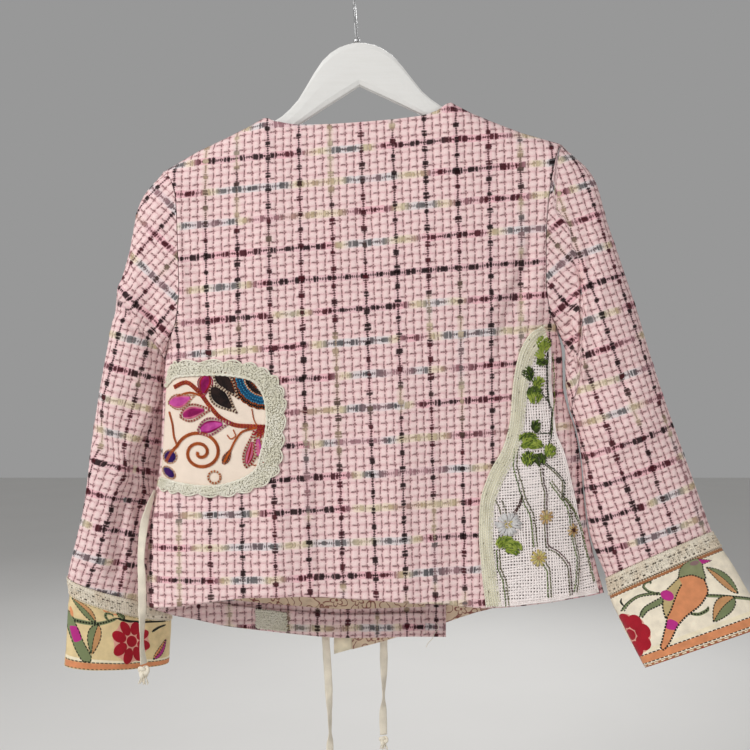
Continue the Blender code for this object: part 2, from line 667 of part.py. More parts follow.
def side_binding(back, paint):
    binding = table_points(BINDING, 31)
    shares = np.array([0.0, 0.5, 1.0])
    x = binding[:, 2, None] * (1 - shares) + binding[:, 0, None] * shares
    z = binding[:, 3, None] * (1 - shares) + binding[:, 1, None] * shares
    laid_on_back("side_patch_binding", back, x, z, LINEN, paint, np.array([0.0, RIBBON_RISE, 0.0]))


def unit(vector):
    return vector / np.linalg.norm(vector)


def ring_frame(table, station):
    """Centre, half width, half depth and axis of the sleeve at a station."""
    outer_x, outer_z, inner_x, inner_y, inner_z, half, drop = (
        float(along_rows(table, column, station)) for column in range(7)
    )
    outer = np.array([outer_x, 0.0, outer_z])
    inner = np.array([inner_x, inner_y, inner_z])
    wide = (outer - inner) / 2
    deep = np.array([0.0, 1.0, -drop])
    deep = unit(deep - np.dot(deep, unit(wide)) * unit(wide))
    return (outer + inner) / 2, wide, deep * half, unit(np.cross(wide, deep))


def sleeve_turns():
    """Angles round the sleeve: 0 at its outer edge, 180 at its inner one, the back half first."""
    return np.arange(2 * ARM_ROWS) * math.pi / ARM_ROWS


def armhole_ring(edge, table, underarm):
    tip = table[0][0]
    back_half, back_in = armhole(edge, tip, underarm, -1)
    front_half, front_in = armhole(edge, tip, underarm, 1)
    points = np.concatenate([back_half, front_half[-2:0:-1]])
    inwards = np.concatenate([back_in, front_in[-2:0:-1]])
    points[0, 1] = 0.0
    points[ARM_ROWS, 1] = 0.0
    return points, inwards


def creases(table, station, turns):
    total = np.zeros(len(turns))
    degrees = (np.degrees(turns) + 180) % 360 - 180
    for start, angle_from, end, angle_to, half, height in table:
        way = (station - start) / (end - start)
        middle = angle_from + (angle_to - angle_from) * way
        fade = ramp((way + 0.15) * 3) * ramp((1.15 - way) * 3)
        total = total + height * fade * np.exp(-(((degrees - middle) / half) ** 2))
    return total


def sleeve(name, side, table, edge, edge_table, underarm, crease_rows, paint):
    turns = sleeve_turns()
    seam_points, seam_in = armhole_ring(edge, edge_table, underarm)
    seam_points = seam_points + np.array([side * ARM_SEAM, 0.0, 0.0])
    centre, wide, deep, axis = ring_frame(table, 0)
    local = seam_points - centre
    seam_wide = local @ wide / np.dot(wide, wide)
    seam_deep = local @ unit(deep)
    seam_off = local @ axis
    stations = LACE_STATION * (np.arange(SLEEVE_RINGS + 1) / SLEEVE_RINGS) ** 1.15
    rings = []
    for station in stations:
        centre, wide, deep, axis = ring_frame(table, station)
        mix = ramp(station / CAP_ENDS_AT)
        across = seam_wide * (1 - mix) + np.cos(turns) * mix
        depth = seam_deep * (1 - mix) - np.linalg.norm(deep) * np.sin(turns) * mix
        off = seam_off * (1 - ramp(station / SEAM_FADES_AT))
        crease = 1 + creases(crease_rows, station, turns) * ramp(station / 0.8) / 30
        ring = (
            centre
            + (across * (0.4 + 0.6 * crease))[:, None] * wide
            + (depth * crease)[:, None] * unit(deep)
            + off[:, None] * axis
        )
        rings.append(ring)
    outer = np.array(rings)
    outer[0] = seam_points
    inner = outer + tube_inwards(outer) * TWEED
    inner[0] = seam_points + seam_in * TWEED
    inner[-1] = end_inside(table, LACE_STATION, turns, outer[-1], TWEED)
    wall(name, outer, inner, paint, wrap=True)


def tube_inwards(rings):
    around = np.roll(rings, -1, axis=1) - np.roll(rings, 1, axis=1)
    down = np.gradient(rings, axis=0)
    inwards = np.cross(around, down)
    inwards /= np.linalg.norm(inwards, axis=-1, keepdims=True)
    middle = rings.mean(axis=1, keepdims=True)
    if ((middle - rings) * inwards).sum() < 0:
        inwards = -inwards
    return inwards


def end_inside(table, station, turns, outer, thickness):
    """Inner points of an end ring, kept in the ring's own plane."""
    centre, wide, deep, axis = ring_frame(table, station)
    half_wide = np.linalg.norm(wide)
    half_deep = np.linalg.norm(deep)
    towards = -np.cos(turns)[:, None] * unit(wide) / half_wide + np.sin(turns)[:, None] * unit(deep) / half_deep
    towards /= np.linalg.norm(towards, axis=1, keepdims=True)
    return outer + towards * np.reshape(thickness, (-1, 1))


def sleeve_band(name, table, start, end, steps, around, gaps, thickness, raised, paint):
    """A piece that goes round the end of a sleeve, between two stations."""
    turns = np.arange(around) * 2 * math.pi / around
    outer = []
    inner = []
    for step in range(steps + 1):
        share = step / steps
        station = start + (end - start) * share
        centre, wide, deep, axis = ring_frame(table, station)
        if np.dot(axis, np.array([0.0, 0.0, -1.0])) < 0:
            axis = -axis
        shift = axis * (gaps[0] * (1 - share) - gaps[1] * share)
        plain = centre + shift + np.cos(turns)[:, None] * wide - np.sin(turns)[:, None] * deep
        high = raised(share, turns)
        outer.append(end_inside(table, station, turns, plain, -high))
        inner.append(end_inside(table, station, turns, plain, thickness))
    wall(name, np.array(outer), np.array(inner), paint, wrap=True)


def lace_relief(share, turns):
    bumps = len(turns) / 4
    return (0.5 + 0.5 * np.cos(turns * bumps)) * 0.9 * math.sin(share * math.pi) + 0.2


def plain_relief(share, turns):
    return np.zeros(len(turns))


def tape_points(rows):
    """The tape's points, with more between two rows where it turns, so that no face is much twisted."""
    places = [0.0]
    for row in range(len(rows) - 1):
        steps = max(1, math.ceil(abs(rows[row + 1][3] - rows[row][3]) / TAPE_TURN))
        places += [row + step / steps for step in range(1, steps + 1)]
    return np.stack([along_rows(rows, column, places) for column in range(4)], axis=-1)


def tape(name, rows, paint):
    """A flat tape along its own points, turned as its table says."""
    curve = bpy.data.curves.new(name, "CURVE")
    curve.dimensions = "3D"
    curve.twist_mode = "MINIMUM"
    curve.extrude = (TAPE_HALF_WIDTH - TAPE_HALF_THICKNESS) * MM
    curve.bevel_depth = TAPE_HALF_THICKNESS * MM
    curve.bevel_resolution = 2
    curve.use_fill_caps = True
    spline = curve.splines.new("POLY")
    places = tape_points(rows)
    spline.points.add(len(places) - 1)
    for point, (x, y, z, turn) in zip(spline.points, places):
        point.co = (x * MM, y * MM, z * MM, 1.0)
        point.tilt = math.radians(turn)
    curve.materials.append(paint)
    made = bpy.data.objects.new(name, curve)
    bpy.context.scene.collection.objects.link(made)
    return made


def knot(name, rows, paint):
    x, y, z, _ = rows[-1]
    place = (x * MM, y * MM, (z - KNOT_HALF[2] - KNOT_GAP) * MM)
    bpy.ops.mesh.primitive_ico_sphere_add(subdivisions=2, radius=MM, location=place)
    made = bpy.context.object
    made.name = name
    made.data.name = name
    for vertex in made.data.vertices:
        vertex.co *= Vector(KNOT_HALF)
    made.data.materials.append(paint)
    made.data.shade_smooth()
    return made


def upright_to_world(points):
    """Turns points of the hanger's own frame about the hook's contact point."""
    angle = math.radians(HANGER_TURN)
    points = np.asarray(points, float)
    x = points[..., 0] * math.cos(angle) - points[..., 2] * math.sin(angle)
    z = points[..., 0] * math.sin(angle) + points[..., 2] * math.cos(angle)
    return np.stack([x, points[..., 1], z], axis=-1)


def capped_tube(name, rings, paint):
    """A solid through closed rings, with its two ends filled."""
    rings = upright_to_world(rings)
    count = rings.shape[1]
    vertices = rings.reshape(-1, 3)
    faces = []
    for ring in range(len(rings) - 1):
        for place in range(count):
            after = (place + 1) % count
            start = ring * count
            faces.append((start + place, start + after, start + count + after, start + count + place))
    ends = [list(range(count))[::-1], list(range((len(rings) - 1) * count, len(rings) * count))]
    if signed_volume(vertices - vertices.mean(axis=0), faces) < 0:
        faces = [tuple(reversed(face)) for face in faces]
        ends = [end[::-1] for end in ends]
    return new_object(name, vertices, faces + [tuple(end) for end in ends], paint)


def hanger_body(paint):
    reach = HANGER_OUTLINE[-1][0]
    places = np.concatenate([np.linspace(0, 96, 11), np.linspace(120, 190, 4), [199.0, reach]])
    places = np.concatenate([-places[:0:-1], places])
    turns = np.arange(12) * 2 * math.pi / 12
    rings = []
    for x in places:
        top = float(column_value(HANGER_OUTLINE, 0, 1, abs(x)))
        foot = float(column_value(HANGER_OUTLINE, 0, 2, abs(x)))
        end = math.sqrt(max(1 - (abs(x) / (reach + 1.5)) ** 10, 0.02))
        half = HANGER_HALF_THICKNESS * end
        tall = (top - foot) / 2 * end
        corner = min(half / tall, 1.0)
        ring = []
        for turn in turns:
            y = math.copysign(abs(math.sin(turn)) ** 0.6, math.sin(turn)) * half
            rise = math.copysign(abs(math.cos(turn)) ** (0.35 + 0.4 * corner), math.cos(turn)) * tall
            ring.append((x, y, (top + foot) / 2 + rise))
        rings.append(ring)
    capped_tube("hanger_body", np.array(rings), paint)


def wire_rings(path, radius, sides):
    path = np.asarray(path, float)
    along = np.gradient(path, axis=0)
    along /= np.linalg.norm(along, axis=1, keepdims=True)
    side = np.array([1.0, 0.0, 0.0])
    turns = np.arange(sides) * 2 * math.pi / sides
    rings = []
    for place, way in zip(path, along):
        other = np.cross(way, side)
        rings.append([place + radius * (math.cos(turn) * side + math.sin(turn) * other) for turn in turns])
    return np.array(rings)


def hanger_hook(paint):
    """The shank rises from the ferrule, bends back and goes round over the origin."""
    middle = WIRE / 2 - LOOP_RADIUS
    turns = np.radians(np.linspace(LOOP_FROM, LOOP_TO, 22))
    loop = [(0.0, LOOP_RADIUS * math.cos(turn), middle + LOOP_RADIUS * math.sin(turn)) for turn in turns]
    join_y = loop[0][1]
    join_z = loop[0][2]
    shank = [(0.0, 0.0, FERRULE_TOP + 0.3), (0.0, 0.0, SHANK_TOP - 6), (0.0, 0.6, SHANK_TOP - 2)]
    shank.append((0.0, join_y * 0.28, SHANK_TOP + (join_z - SHANK_TOP) * 0.35))
    shank.append((0.0, join_y * 0.66, SHANK_TOP + (join_z - SHANK_TOP) * 0.68))
    capped_tube("hanger_hook", wire_rings(shank + loop, WIRE / 2, 10), paint)


def hanger_ferrule(paint):
    """A small turned collar where the hook goes into the wood."""
    foot = HANGER_OUTLINE[0][1] + 0.3
    # height, radius
    profile = [
        (foot, FERRULE_RADIUS), (foot + 2.4, FERRULE_RADIUS), (foot + 4.2, FERRULE_RADIUS - 0.9),
        (FERRULE_TOP, FERRULE_RADIUS - 1.4),
    ]
    turns = np.arange(16) * 2 * math.pi / 16
    rings = [[(r * math.cos(t), r * math.sin(t), z) for t in turns] for z, r in profile]
    capped_tube("hanger_ferrule", np.array(rings), paint)


def clear_scene():
    for item in list(bpy.data.objects):
        bpy.data.objects.remove(item, do_unlink=True)


def build():
    clear_scene()
    tweed = material("tweed", (0.78, 0.56, 0.58), 0.85)
    silk = material("printed_lining", (0.76, 0.62, 0.48), 0.5)
    cream = material("cream_cotton", (0.78, 0.71, 0.56), 0.85)
    ivory = material("ivory_ground", (0.80, 0.74, 0.66), 0.85)
    linen = material("open_linen", (0.86, 0.86, 0.80), 0.85)
    ribbon = material("ribbon_binding", (0.60, 0.62, 0.54), 0.8)
    border = material("dyed_crochet", (0.55, 0.42, 0.45), 0.85)
    wood = material("painted_wood", (0.86, 0.85, 0.80), 0.35)
    steel = material("plated_steel", (0.75, 0.75, 0.75), 0.25, 1.0)

    back = back_panel(tweed)
    front_panel("front_left", left_front_grid, left_front_y, tweed)
    front_panel("front_right", right_front_grid, right_front_y, tweed)
    sleeve("sleeve_left", -1, LEFT_SLEEVE, left_edge, LEFT_EDGE, LEFT_UNDERARM, LEFT_CREASES, tweed)
    sleeve("sleeve_right", 1, RIGHT_SLEEVE, right_edge, RIGHT_EDGE, RIGHT_UNDERARM, RIGHT_CREASES, tweed)
    for side, table in (("left", LEFT_SLEEVE), ("right", RIGHT_SLEEVE)):
        sleeve_band(
            "cuff_lace_" + side, table, LACE_STATION, CUFF_STATION, 2, 40,
            (RING_SEAM, 0.0), CROCHET, lace_relief, cream,
        )
        sleeve_band(
            "cuff_" + side, table, CUFF_STATION, CUFF_END, 5, 28,
            (RING_SEAM, 0.0), COTTON, plain_relief, cream,
        )
    front_lining("lining_left", left_front_grid, left_front_y, LINING_ROWS[:-1], silk)
    front_lining("lining_right", right_front_grid, right_front_y, LINING_ROWS, silk)
    facing = left_facing(tweed)
    hem_scrap(facing, border)
    floral_patch(back, ivory)
    patch_border(back, border)
    side_patch(back, linen)
    side_binding(back, ribbon)
    for name, rows in (
        ("tie_side", SIDE_TIE), ("tie_right_front", RIGHT_FRONT_TIE), ("tie_outer_front", OUTER_FRONT_TIE)
    ):
        tape(name, rows, cream)
        knot(name + "_knot", rows, cream)
    hanger_body(wood)
    hanger_hook(steel)
    hanger_ferrule(steel)


build()
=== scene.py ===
import json
import math

import bpy
import numpy as np
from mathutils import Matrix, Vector
from mathutils.geometry import delaunay_2d_cdt

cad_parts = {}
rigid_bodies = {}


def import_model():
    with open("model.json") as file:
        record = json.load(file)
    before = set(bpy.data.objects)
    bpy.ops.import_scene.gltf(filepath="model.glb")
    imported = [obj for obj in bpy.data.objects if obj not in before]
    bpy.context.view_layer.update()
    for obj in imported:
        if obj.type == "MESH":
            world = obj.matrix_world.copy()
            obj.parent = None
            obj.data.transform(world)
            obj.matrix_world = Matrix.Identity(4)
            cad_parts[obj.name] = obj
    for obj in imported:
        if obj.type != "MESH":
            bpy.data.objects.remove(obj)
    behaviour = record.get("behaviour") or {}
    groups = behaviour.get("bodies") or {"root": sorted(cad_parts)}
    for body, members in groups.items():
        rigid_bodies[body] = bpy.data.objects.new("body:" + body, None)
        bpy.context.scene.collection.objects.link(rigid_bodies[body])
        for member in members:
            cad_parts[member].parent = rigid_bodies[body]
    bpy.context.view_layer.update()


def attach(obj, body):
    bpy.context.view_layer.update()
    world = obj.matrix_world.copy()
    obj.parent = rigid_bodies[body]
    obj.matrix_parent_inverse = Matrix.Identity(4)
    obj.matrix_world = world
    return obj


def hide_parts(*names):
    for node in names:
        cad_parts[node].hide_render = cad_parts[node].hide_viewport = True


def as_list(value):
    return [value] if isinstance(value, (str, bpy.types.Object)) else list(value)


# Looks of the patchwork jacket on its hanger. Tables of the shape are in millimetres, cords in metres.
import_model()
bpy.ops.object.select_all(action="DESELECT")
mm = 0.001
scene = bpy.context.scene

camera = {"place": (0.024669, -1.035, -0.433613), "lens": 45.714, "sensor": 36.0}
studio = {
    "floorHeight": -1.3, "floorSize": 14.0, "floorColour": (0.80, 0.79, 0.77),
    "worldColour": (0.86, 0.86, 0.86), "worldStrength": 0.365,
    # name, place, aim, size, power
    "lights": [
        ("keyLight", (-1.75, -1.65, 0.95), (0.03, 0.0, -0.42), 1.1, 54.0),
        ("fillLight", (1.5, -2.0, -0.2), (0.05, 0.0, -0.45), 1.6, 12.0),
        ("behindLight", (0.5, 2.4, 0.6), (0.03, 0.0, -0.42), 1.6, 28.0),
    ],
}


def makeStage():
    scene.view_settings.view_transform = "Standard"
    cameraData = bpy.data.cameras.new("camera")
    cameraData.lens = camera["lens"]
    cameraData.sensor_width = camera["sensor"]
    cameraObject = bpy.data.objects.new("camera", cameraData)
    cameraObject.location = camera["place"]
    cameraObject.rotation_euler = (math.pi / 2, 0.0, 0.0)
    scene.collection.objects.link(cameraObject)
    scene.camera = cameraObject
    bpy.ops.mesh.primitive_plane_add(size=studio["floorSize"], location=(0, 0, studio["floorHeight"]))
    floor = bpy.context.object
    floor.name = "floor"
    world = bpy.data.worlds.new("softRoom")
    scene.world = world
    world.use_nodes = True
    background = world.node_tree.nodes["Background"]
    background.inputs["Color"].default_value = (*studio["worldColour"], 1.0)
    background.inputs["Strength"].default_value = studio["worldStrength"]
    for name, place, aim, size, power in studio["lights"]:
        lightData = bpy.data.lights.new(name, "AREA")
        lightData.shape = "DISK"
        lightData.size = size
        lightData.energy = power
        light = bpy.data.objects.new(name, lightData)
        light.location = place
        light.rotation_euler = (Vector(aim) - Vector(place)).to_track_quat("-Z", "Y").to_euler()
        scene.collection.objects.link(light)
    return floor


floor = makeStage()
print("stage: camera, floor and soft lights")


# Small functions that the shapes share
def smoothValue(xs, ys, at):  # a smooth curve through the rows that never swings past them
    xs = np.asarray(xs, float)
    ys = np.asarray(ys, float)
    if xs[0] > xs[-1]:
        xs, ys = xs[::-1], ys[::-1]
    steps = np.diff(xs)
    slopes = np.diff(ys) / steps
    tangents = np.zeros(len(xs))
    tangents[0], tangents[-1] = slopes[0], slopes[-1]
    before, after = slopes[:-1], slopes[1:]
    same = before * after > 0
    tangents[1:-1] = np.where(same, 2 * before * after / np.where(same, before + after, 1.0), 0.0)
    at = np.clip(np.asarray(at, float), xs[0], xs[-1])
    part = np.clip(np.searchsorted(xs, at, side="right") - 1, 0, len(xs) - 2)
    t = (at - xs[part]) / steps[part]
    return (
        (1 + 2 * t) * (1 - t) ** 2 * ys[part]
        + t * (1 - t) ** 2 * steps[part] * tangents[part]
        + t * t * (3 - 2 * t) * ys[part + 1]
        + t * t * (t - 1) * steps[part] * tangents[part + 1]
    )


def columnValue(table, key, value, at):
    return smoothValue([row[key] for row in table], [row[value] for row in table], at)


def alongRows(table, column, at):
    return smoothValue(range(len(table)), [row[column] for row in table], at)


def tablePoints(table, count):
    at = np.linspace(0, len(table) - 1, count)
    return together(*(alongRows(table, column, at) for column in range(len(table[0]))))


def ramp(value):
    value = np.clip(value, 0.0, 1.0)
    return value * value * (3 - 2 * value)


def unitRows(vectors):
    return vectors / np.maximum(np.linalg.norm(vectors, axis=-1, keepdims=True), 1e-9)


def together(*columns):  # values of one shape, side by side
    return np.stack(columns, axis=-1)


def reachAlong(points):  # how far along its line each point is
    return np.concatenate([[0.0], np.cumsum(np.linalg.norm(np.diff(points, axis=0), axis=1))])


def evenPoints(points, spacing):  # the same line with points at an even spacing
    points = np.asarray(points, float)
    reach = reachAlong(points)
    count = max(2, int(round(reach[-1] / spacing)) + 1)
    at = np.linspace(0.0, reach[-1], count)
    return together(*(np.interp(at, reach, points[:, axis]) for axis in range(points.shape[1])))


def smoothLine(points, spacing):
    return evenPoints(tablePoints(points, 12 * len(points)), spacing)


def sideOf(line):  # square to a flat line, at each of its points
    along = unitRows(np.gradient(line, axis=0))
    return together(-along[:, 1], along[:, 0])


def heading(angle):  # the flat way that an angle points
    return np.array([math.cos(angle), math.sin(angle)])


def leftOf(way):
    return np.array([-way[1], way[0]])


def cell(row, place, around):  # corners of one face between two closed rows
    after = (place + 1) % around
    low, high = row * around, (row + 1) * around
    return low + place, low + after, high + after, high + place


def addMesh(name, points, faces, uvs, materials, paints=None):
    mesh = bpy.data.meshes.new(name)
    mesh.from_pydata((np.asarray(points) * mm).tolist(), [], faces)
    layer = mesh.uv_layers.new(name="weave")
    layer.data.foreach_set("uv", np.asarray(uvs, float).ravel())
    for material in materials:
        mesh.materials.append(material)
    if paints is not None:
        mesh.polygons.foreach_set("material_index", np.asarray(paints, np.int32))
    mesh.validate()
    mesh.update()
    mesh.shade_smooth()
    made = bpy.data.objects.new(name, mesh)
    scene.collection.objects.link(made)
    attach(made, "root")
    return made


def standsFor(made, node=None):  # hides the solid that a piece stands for, if one is given, and gives the piece back
    if node:
        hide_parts(node)
    return made


class Bundle:  # many small forms gathered in one mesh
    def __init__(self):
        self.points, self.faces, self.uvs, self.paints, self.count = [], [], [], [], 0

    def add(self, points, faces, uvs, paint):
        points = np.asarray(points).reshape(-1, 3)
        self.points.append(points)
        self.faces += [tuple(corner + self.count for corner in face) for face in faces]
        self.uvs += [uvs[corner] for face in faces for corner in face]
        self.paints += [paint] * len(faces)
        self.count += len(points)

    def sweep(self, path, up, wide, high, sides=6, paint=0):  # an oval section along a path
        path = np.asarray(path, float)
        count = len(path)
        along = unitRows(np.gradient(path, axis=0))
        side = unitRows(np.cross(along, up))
        over = np.cross(side, along)
        turns = np.arange(sides) * 2 * math.pi / sides
        wide = np.broadcast_to(wide, count)[:, None, None]
        high = np.broadcast_to(high, count)[:, None, None]
        rings = (
            path[:, None]
            + np.cos(turns)[None, :, None] * wide * side[:, None]
            + np.sin(turns)[None, :, None] * high * over[:, None]
        )
        reach = reachAlong(path)
        uvs = [(place / sides, reach[row]) for row in range(count) for place in range(sides)]
        faces = []
        for row in range(count - 1):
            for place in range(sides):
                after = (place + 1) % sides
                low = row * sides
                faces.append((low + place, low + sides + place, low + sides + after, low + after))
        last = (count - 1) * sides
        faces.append(tuple(range(sides)))
        faces.append(tuple(last + place for place in reversed(range(sides))))
        self.add(rings, faces, uvs, paint)

    def beads(self, centres, along, up, size, paint=0):  # stitches: half length, half width, half height
        centres = np.asarray(centres, float)
        along = unitRows(np.asarray(along, float))
        side = unitRows(np.cross(along, up))
        over = np.cross(side, along)
        halfLong, halfWide, halfHigh = size
        turns = np.arange(6) * math.pi / 3
        pole = np.array([[-1.0, 0.0, 0.0]])
        rings = [
            together(np.full(6, place), np.cos(turns) * width, np.sin(turns) * width)
            for place, width in ((-0.62, 0.78), (0.0, 1.0), (0.62, 0.78))
        ]
        shape = np.concatenate([pole, *rings, -pole]) * np.array([halfLong, halfWide, halfHigh])
        faces = [(0, 1 + place, 1 + (place + 1) % 6) for place in range(6)]
        for ring in range(2):
            low = 1 + ring * 6
            for place in range(6):
                after = (place + 1) % 6
                faces.append((low + place, low + 6 + place, low + 6 + after, low + after))
        faces += [(19, 13 + (place + 1) % 6, 13 + place) for place in range(6)]
        uvs = [(0.5 + point[1], point[0]) for point in shape]
        for centre, way, across, top in zip(centres, along, side, over):
            placed = centre + shape[:, :1] * way + shape[:, 1:2] * across + shape[:, 2:] * top
            self.add(placed, faces, uvs, paint)

    def make(self, name, materials):
        return addMesh(name, np.concatenate(self.points), self.faces, self.uvs, materials, self.paints)


def clothShell(name, outer, inner, weave, materials, wrap=False):
    # A closed cloth: a fine outer face, an inner face of every fourth point, and a rim of long faces between them
    coarse = 4
    rows, columns = outer.shape[:2]
    inner = inner[::coarse, ::coarse]
    deep, wide = inner.shape[:2]
    base = rows * columns
    points = np.concatenate([outer.reshape(-1, 3), inner.reshape(-1, 3)])

    def cells(rows, columns, step, order):  # corners of each face, and their places in the weave
        spans = columns if wrap else columns - 1
        grid = np.meshgrid(np.arange(rows - 1), np.arange(spans), indexing="ij")
        row, column = (part.ravel() for part in grid)
        corners = [(row, column), (row, column + 1), (row + 1, column + 1), (row + 1, column)][::order]
        uvs = np.stack([weave[r * step, c * step] for r, c in corners], axis=1)
        return together(*(r * columns + c % columns for r, c in corners)), uvs.reshape(-1, 2)

    faces, uvs = cells(rows, columns, 1, 1)
    innerFaces, innerUvs = cells(deep, wide, coarse, -1)
    allFaces = faces.tolist() + (base + innerFaces).tolist()
    allUvs = [uvs, innerUvs]
    paints = [0] * len(faces) + [min(1, len(materials) - 1)] * len(innerFaces)

    def rim(places, insides):  # places: row and column of the outer points, insides: the two inner points
        outside = [r * columns + c % columns for r, c in places]
        allFaces.append(outside[::-1] + [base + inside for inside in insides])
        allUvs.append(np.array([weave[r, c] for r, c in places[::-1]] + [weave[places[0]], weave[places[-1]]]))
        paints.append(0)

    for edge in (0, rows - 1):
        low = (deep - 1) * wide if edge else 0
        for span in range(wide if wrap else wide - 1):
            places = [(edge, span * coarse + step) for step in range(coarse + 1)]
            insides = [low + span, low + (span + 1) % wide]
            if edge:
                places, insides = places[::-1], insides[::-1]
            rim(places, insides)
    if not wrap:
        for edge in (0, columns - 1):
            side = wide - 1 if edge else 0
            for span in range(deep - 1):
                places = [(span * coarse + step, edge) for step in range(coarse + 1)]
                insides = [span * wide + side, (span + 1) * wide + side]
                if not edge:
                    places, insides = places[::-1], insides[::-1]
                rim(places, insides)
    made = addMesh(name, points, allFaces, np.concatenate(allUvs), materials, paints)
    turnOutwards(made)
    return made


def turnOutwards(made):  # a closed shell whose faces point in is turned round
    mesh = made.data
    mesh.calc_loop_triangles()
    places = np.empty(len(mesh.vertices) * 3)
    mesh.vertices.foreach_get("co", places)
    places = places.reshape(-1, 3)
    corners = np.empty(len(mesh.loop_triangles) * 3, np.int64)
    mesh.loop_triangles.foreach_get("vertices", corners)
    a, b, c = (places[corners.reshape(-1, 3)[:, corner]] for corner in range(3))
    if np.einsum("ij,ij->i", a, np.cross(b, c)).sum() < 0:
        mesh.flip_normals()


# Materials: short calls that add nodes to a tree
class NodeMaker:
    def __init__(self, tree):
        self.tree = tree

    def node(self, kind, settings=(), **inputs):
        made = self.tree.nodes.new(kind)
        for key, value in dict(settings).items():
            setattr(made, key, value)
        for key, value in inputs.items():
            self.plug(made.inputs[key], value)
        return made

    def plug(self, socket, value):
        if isinstance(value, bpy.types.NodeSocket):
            self.tree.links.new(value, socket)
        elif socket.type == "RGBA":
            socket.default_value = (*value[:3], 1.0)
        else:
            socket.default_value = value

    def calc(self, operation, *values):
        made = self.tree.nodes.new("ShaderNodeMath")
        made.operation = operation
        for socket, value in zip(made.inputs, values):
            self.plug(socket, value)
        return made.outputs[0]

    def chained(self, operation, values):
        result = values[0]
        for value in values[1:]:
            result = self.calc(operation, result, value)
        return result

    def total(self, *values):
        return self.chained("ADD", values)

    def times(self, *values):
        return self.chained("MULTIPLY", values)

    def most(self, *values):
        return self.chained("MAXIMUM", values)

    def minus(self, first, second):
        return self.calc("SUBTRACT", first, second)

    def size(self, value):
        return self.calc("ABSOLUTE", value)

    def line(self, value, slope, start):
        return self.calc("MULTIPLY_ADD", value, slope, start)

    def isOdd(self, value):
        return self.calc("FLOORED_MODULO", value, 2.0)

    def rise(self, value, low, high, start=0.0, end=1.0):
        made = self.node("ShaderNodeMapRange", {"interpolation_type": "SMOOTHSTEP"})
        for name, item in zip(("Value", "From Min", "From Max", "To Min", "To Max"), (value, low, high, start, end)):
            self.plug(made.inputs[name], item)
        return made.outputs["Result"]

    def fall(self, value, low, high):
        return self.rise(value, low, high, 1.0, 0.0)

    def split(self, vector):
        made = self.node("ShaderNodeSeparateXYZ", Vector=vector)
        return made.outputs["X"], made.outputs["Y"], made.outputs["Z"]

    def join(self, x, y=0.0, z=0.0):
        return self.node("ShaderNodeCombineXYZ", X=x, Y=y, Z=z).outputs["Vector"]

    def vector(self, operation, *values):
        made = self.tree.nodes.new("ShaderNodeVectorMath")
        made.operation = operation
        for socket, value in zip(made.inputs, values):
            self.plug(socket, value)
        return made.outputs["Vector"]

    def scaled(self, vector, factor):
        return self.vector("MULTIPLY", vector, (factor, factor, factor))

    def noise(self, vector, scale, detail=2.0, output="Fac"):
        made = self.node("ShaderNodeTexNoise", {"noise_dimensions": "3D"}, Vector=vector, Scale=scale, Detail=detail)
        return made.outputs[output]

    def ramp(self, factor, stops):
        made = self.node("ShaderNodeValToRGB", Fac=factor)
        elements = made.color_ramp.elements
        while len(elements) < len(stops):
            elements.new(0.5)
        for element, (place, colour) in zip(elements, stops):
            element.position = place
            element.color = (*colour, 1.0)
        return made.outputs["Color"]

    def mix(self, factor, first, second, kind="MIX"):
        made = self.node("ShaderNodeMix", {"data_type": "RGBA", "blend_type": kind})
        self.plug(made.inputs[0], factor)
        self.plug(made.inputs[6], first)
        self.plug(made.inputs[7], second)
        return made.outputs[2]

    def group(self, tree, **inputs):
        made = self.tree.nodes.new("ShaderNodeGroup")
        made.node_tree = tree
        for key, value in inputs.items():
            self.plug(made.inputs[key], value)
        return made.outputs


def newGroup(name, inputs, outputs):
    tree = bpy.data.node_groups.new(name, "ShaderNodeTree")
    for label, kind in inputs:
        tree.interface.new_socket(name=label, in_out="INPUT", socket_type="NodeSocket" + kind)
    for label, kind in outputs:
        tree.interface.new_socket(name=label, in_out="OUTPUT", socket_type="NodeSocket" + kind)
    start = tree.nodes.new("NodeGroupInput")
    end = tree.nodes.new("NodeGroupOutput")
    return tree, NodeMaker(tree), start.outputs, end.inputs


def newMaterial(name, roughness, sheen=0.0, metallic=0.0):
    material = bpy.data.materials.new(name)
    material.use_nodes = True
    shader = material.node_tree.nodes["Principled BSDF"]
    shader.inputs["Roughness"].default_value = roughness
    shader.inputs["Metallic"].default_value = metallic
    shader.inputs["Sheen Weight"].default_value = sheen
    shader.inputs["Sheen Roughness"].default_value = 0.5
    shader.inputs["Specular IOR Level"].default_value = 0.5 if metallic or roughness < 0.5 else 0.12
    return material, NodeMaker(material.node_tree), shader


def clothPlace(maker):  # the cloth's own coordinates
    return maker.node("ShaderNodeUVMap", {"uv_map": "weave"}).outputs["UV"]


def objectPlace(maker):
    return maker.node("ShaderNodeTexCoord").outputs["Object"]


def finishSurface(maker, shader, colour, height, depth, strength):
    maker.plug(shader.inputs["Base Color"], colour)
    bump = maker.node("ShaderNodeBump", Strength=strength, Distance=depth, Height=height)
    maker.plug(shader.inputs["Normal"], bump.outputs["Normal"])


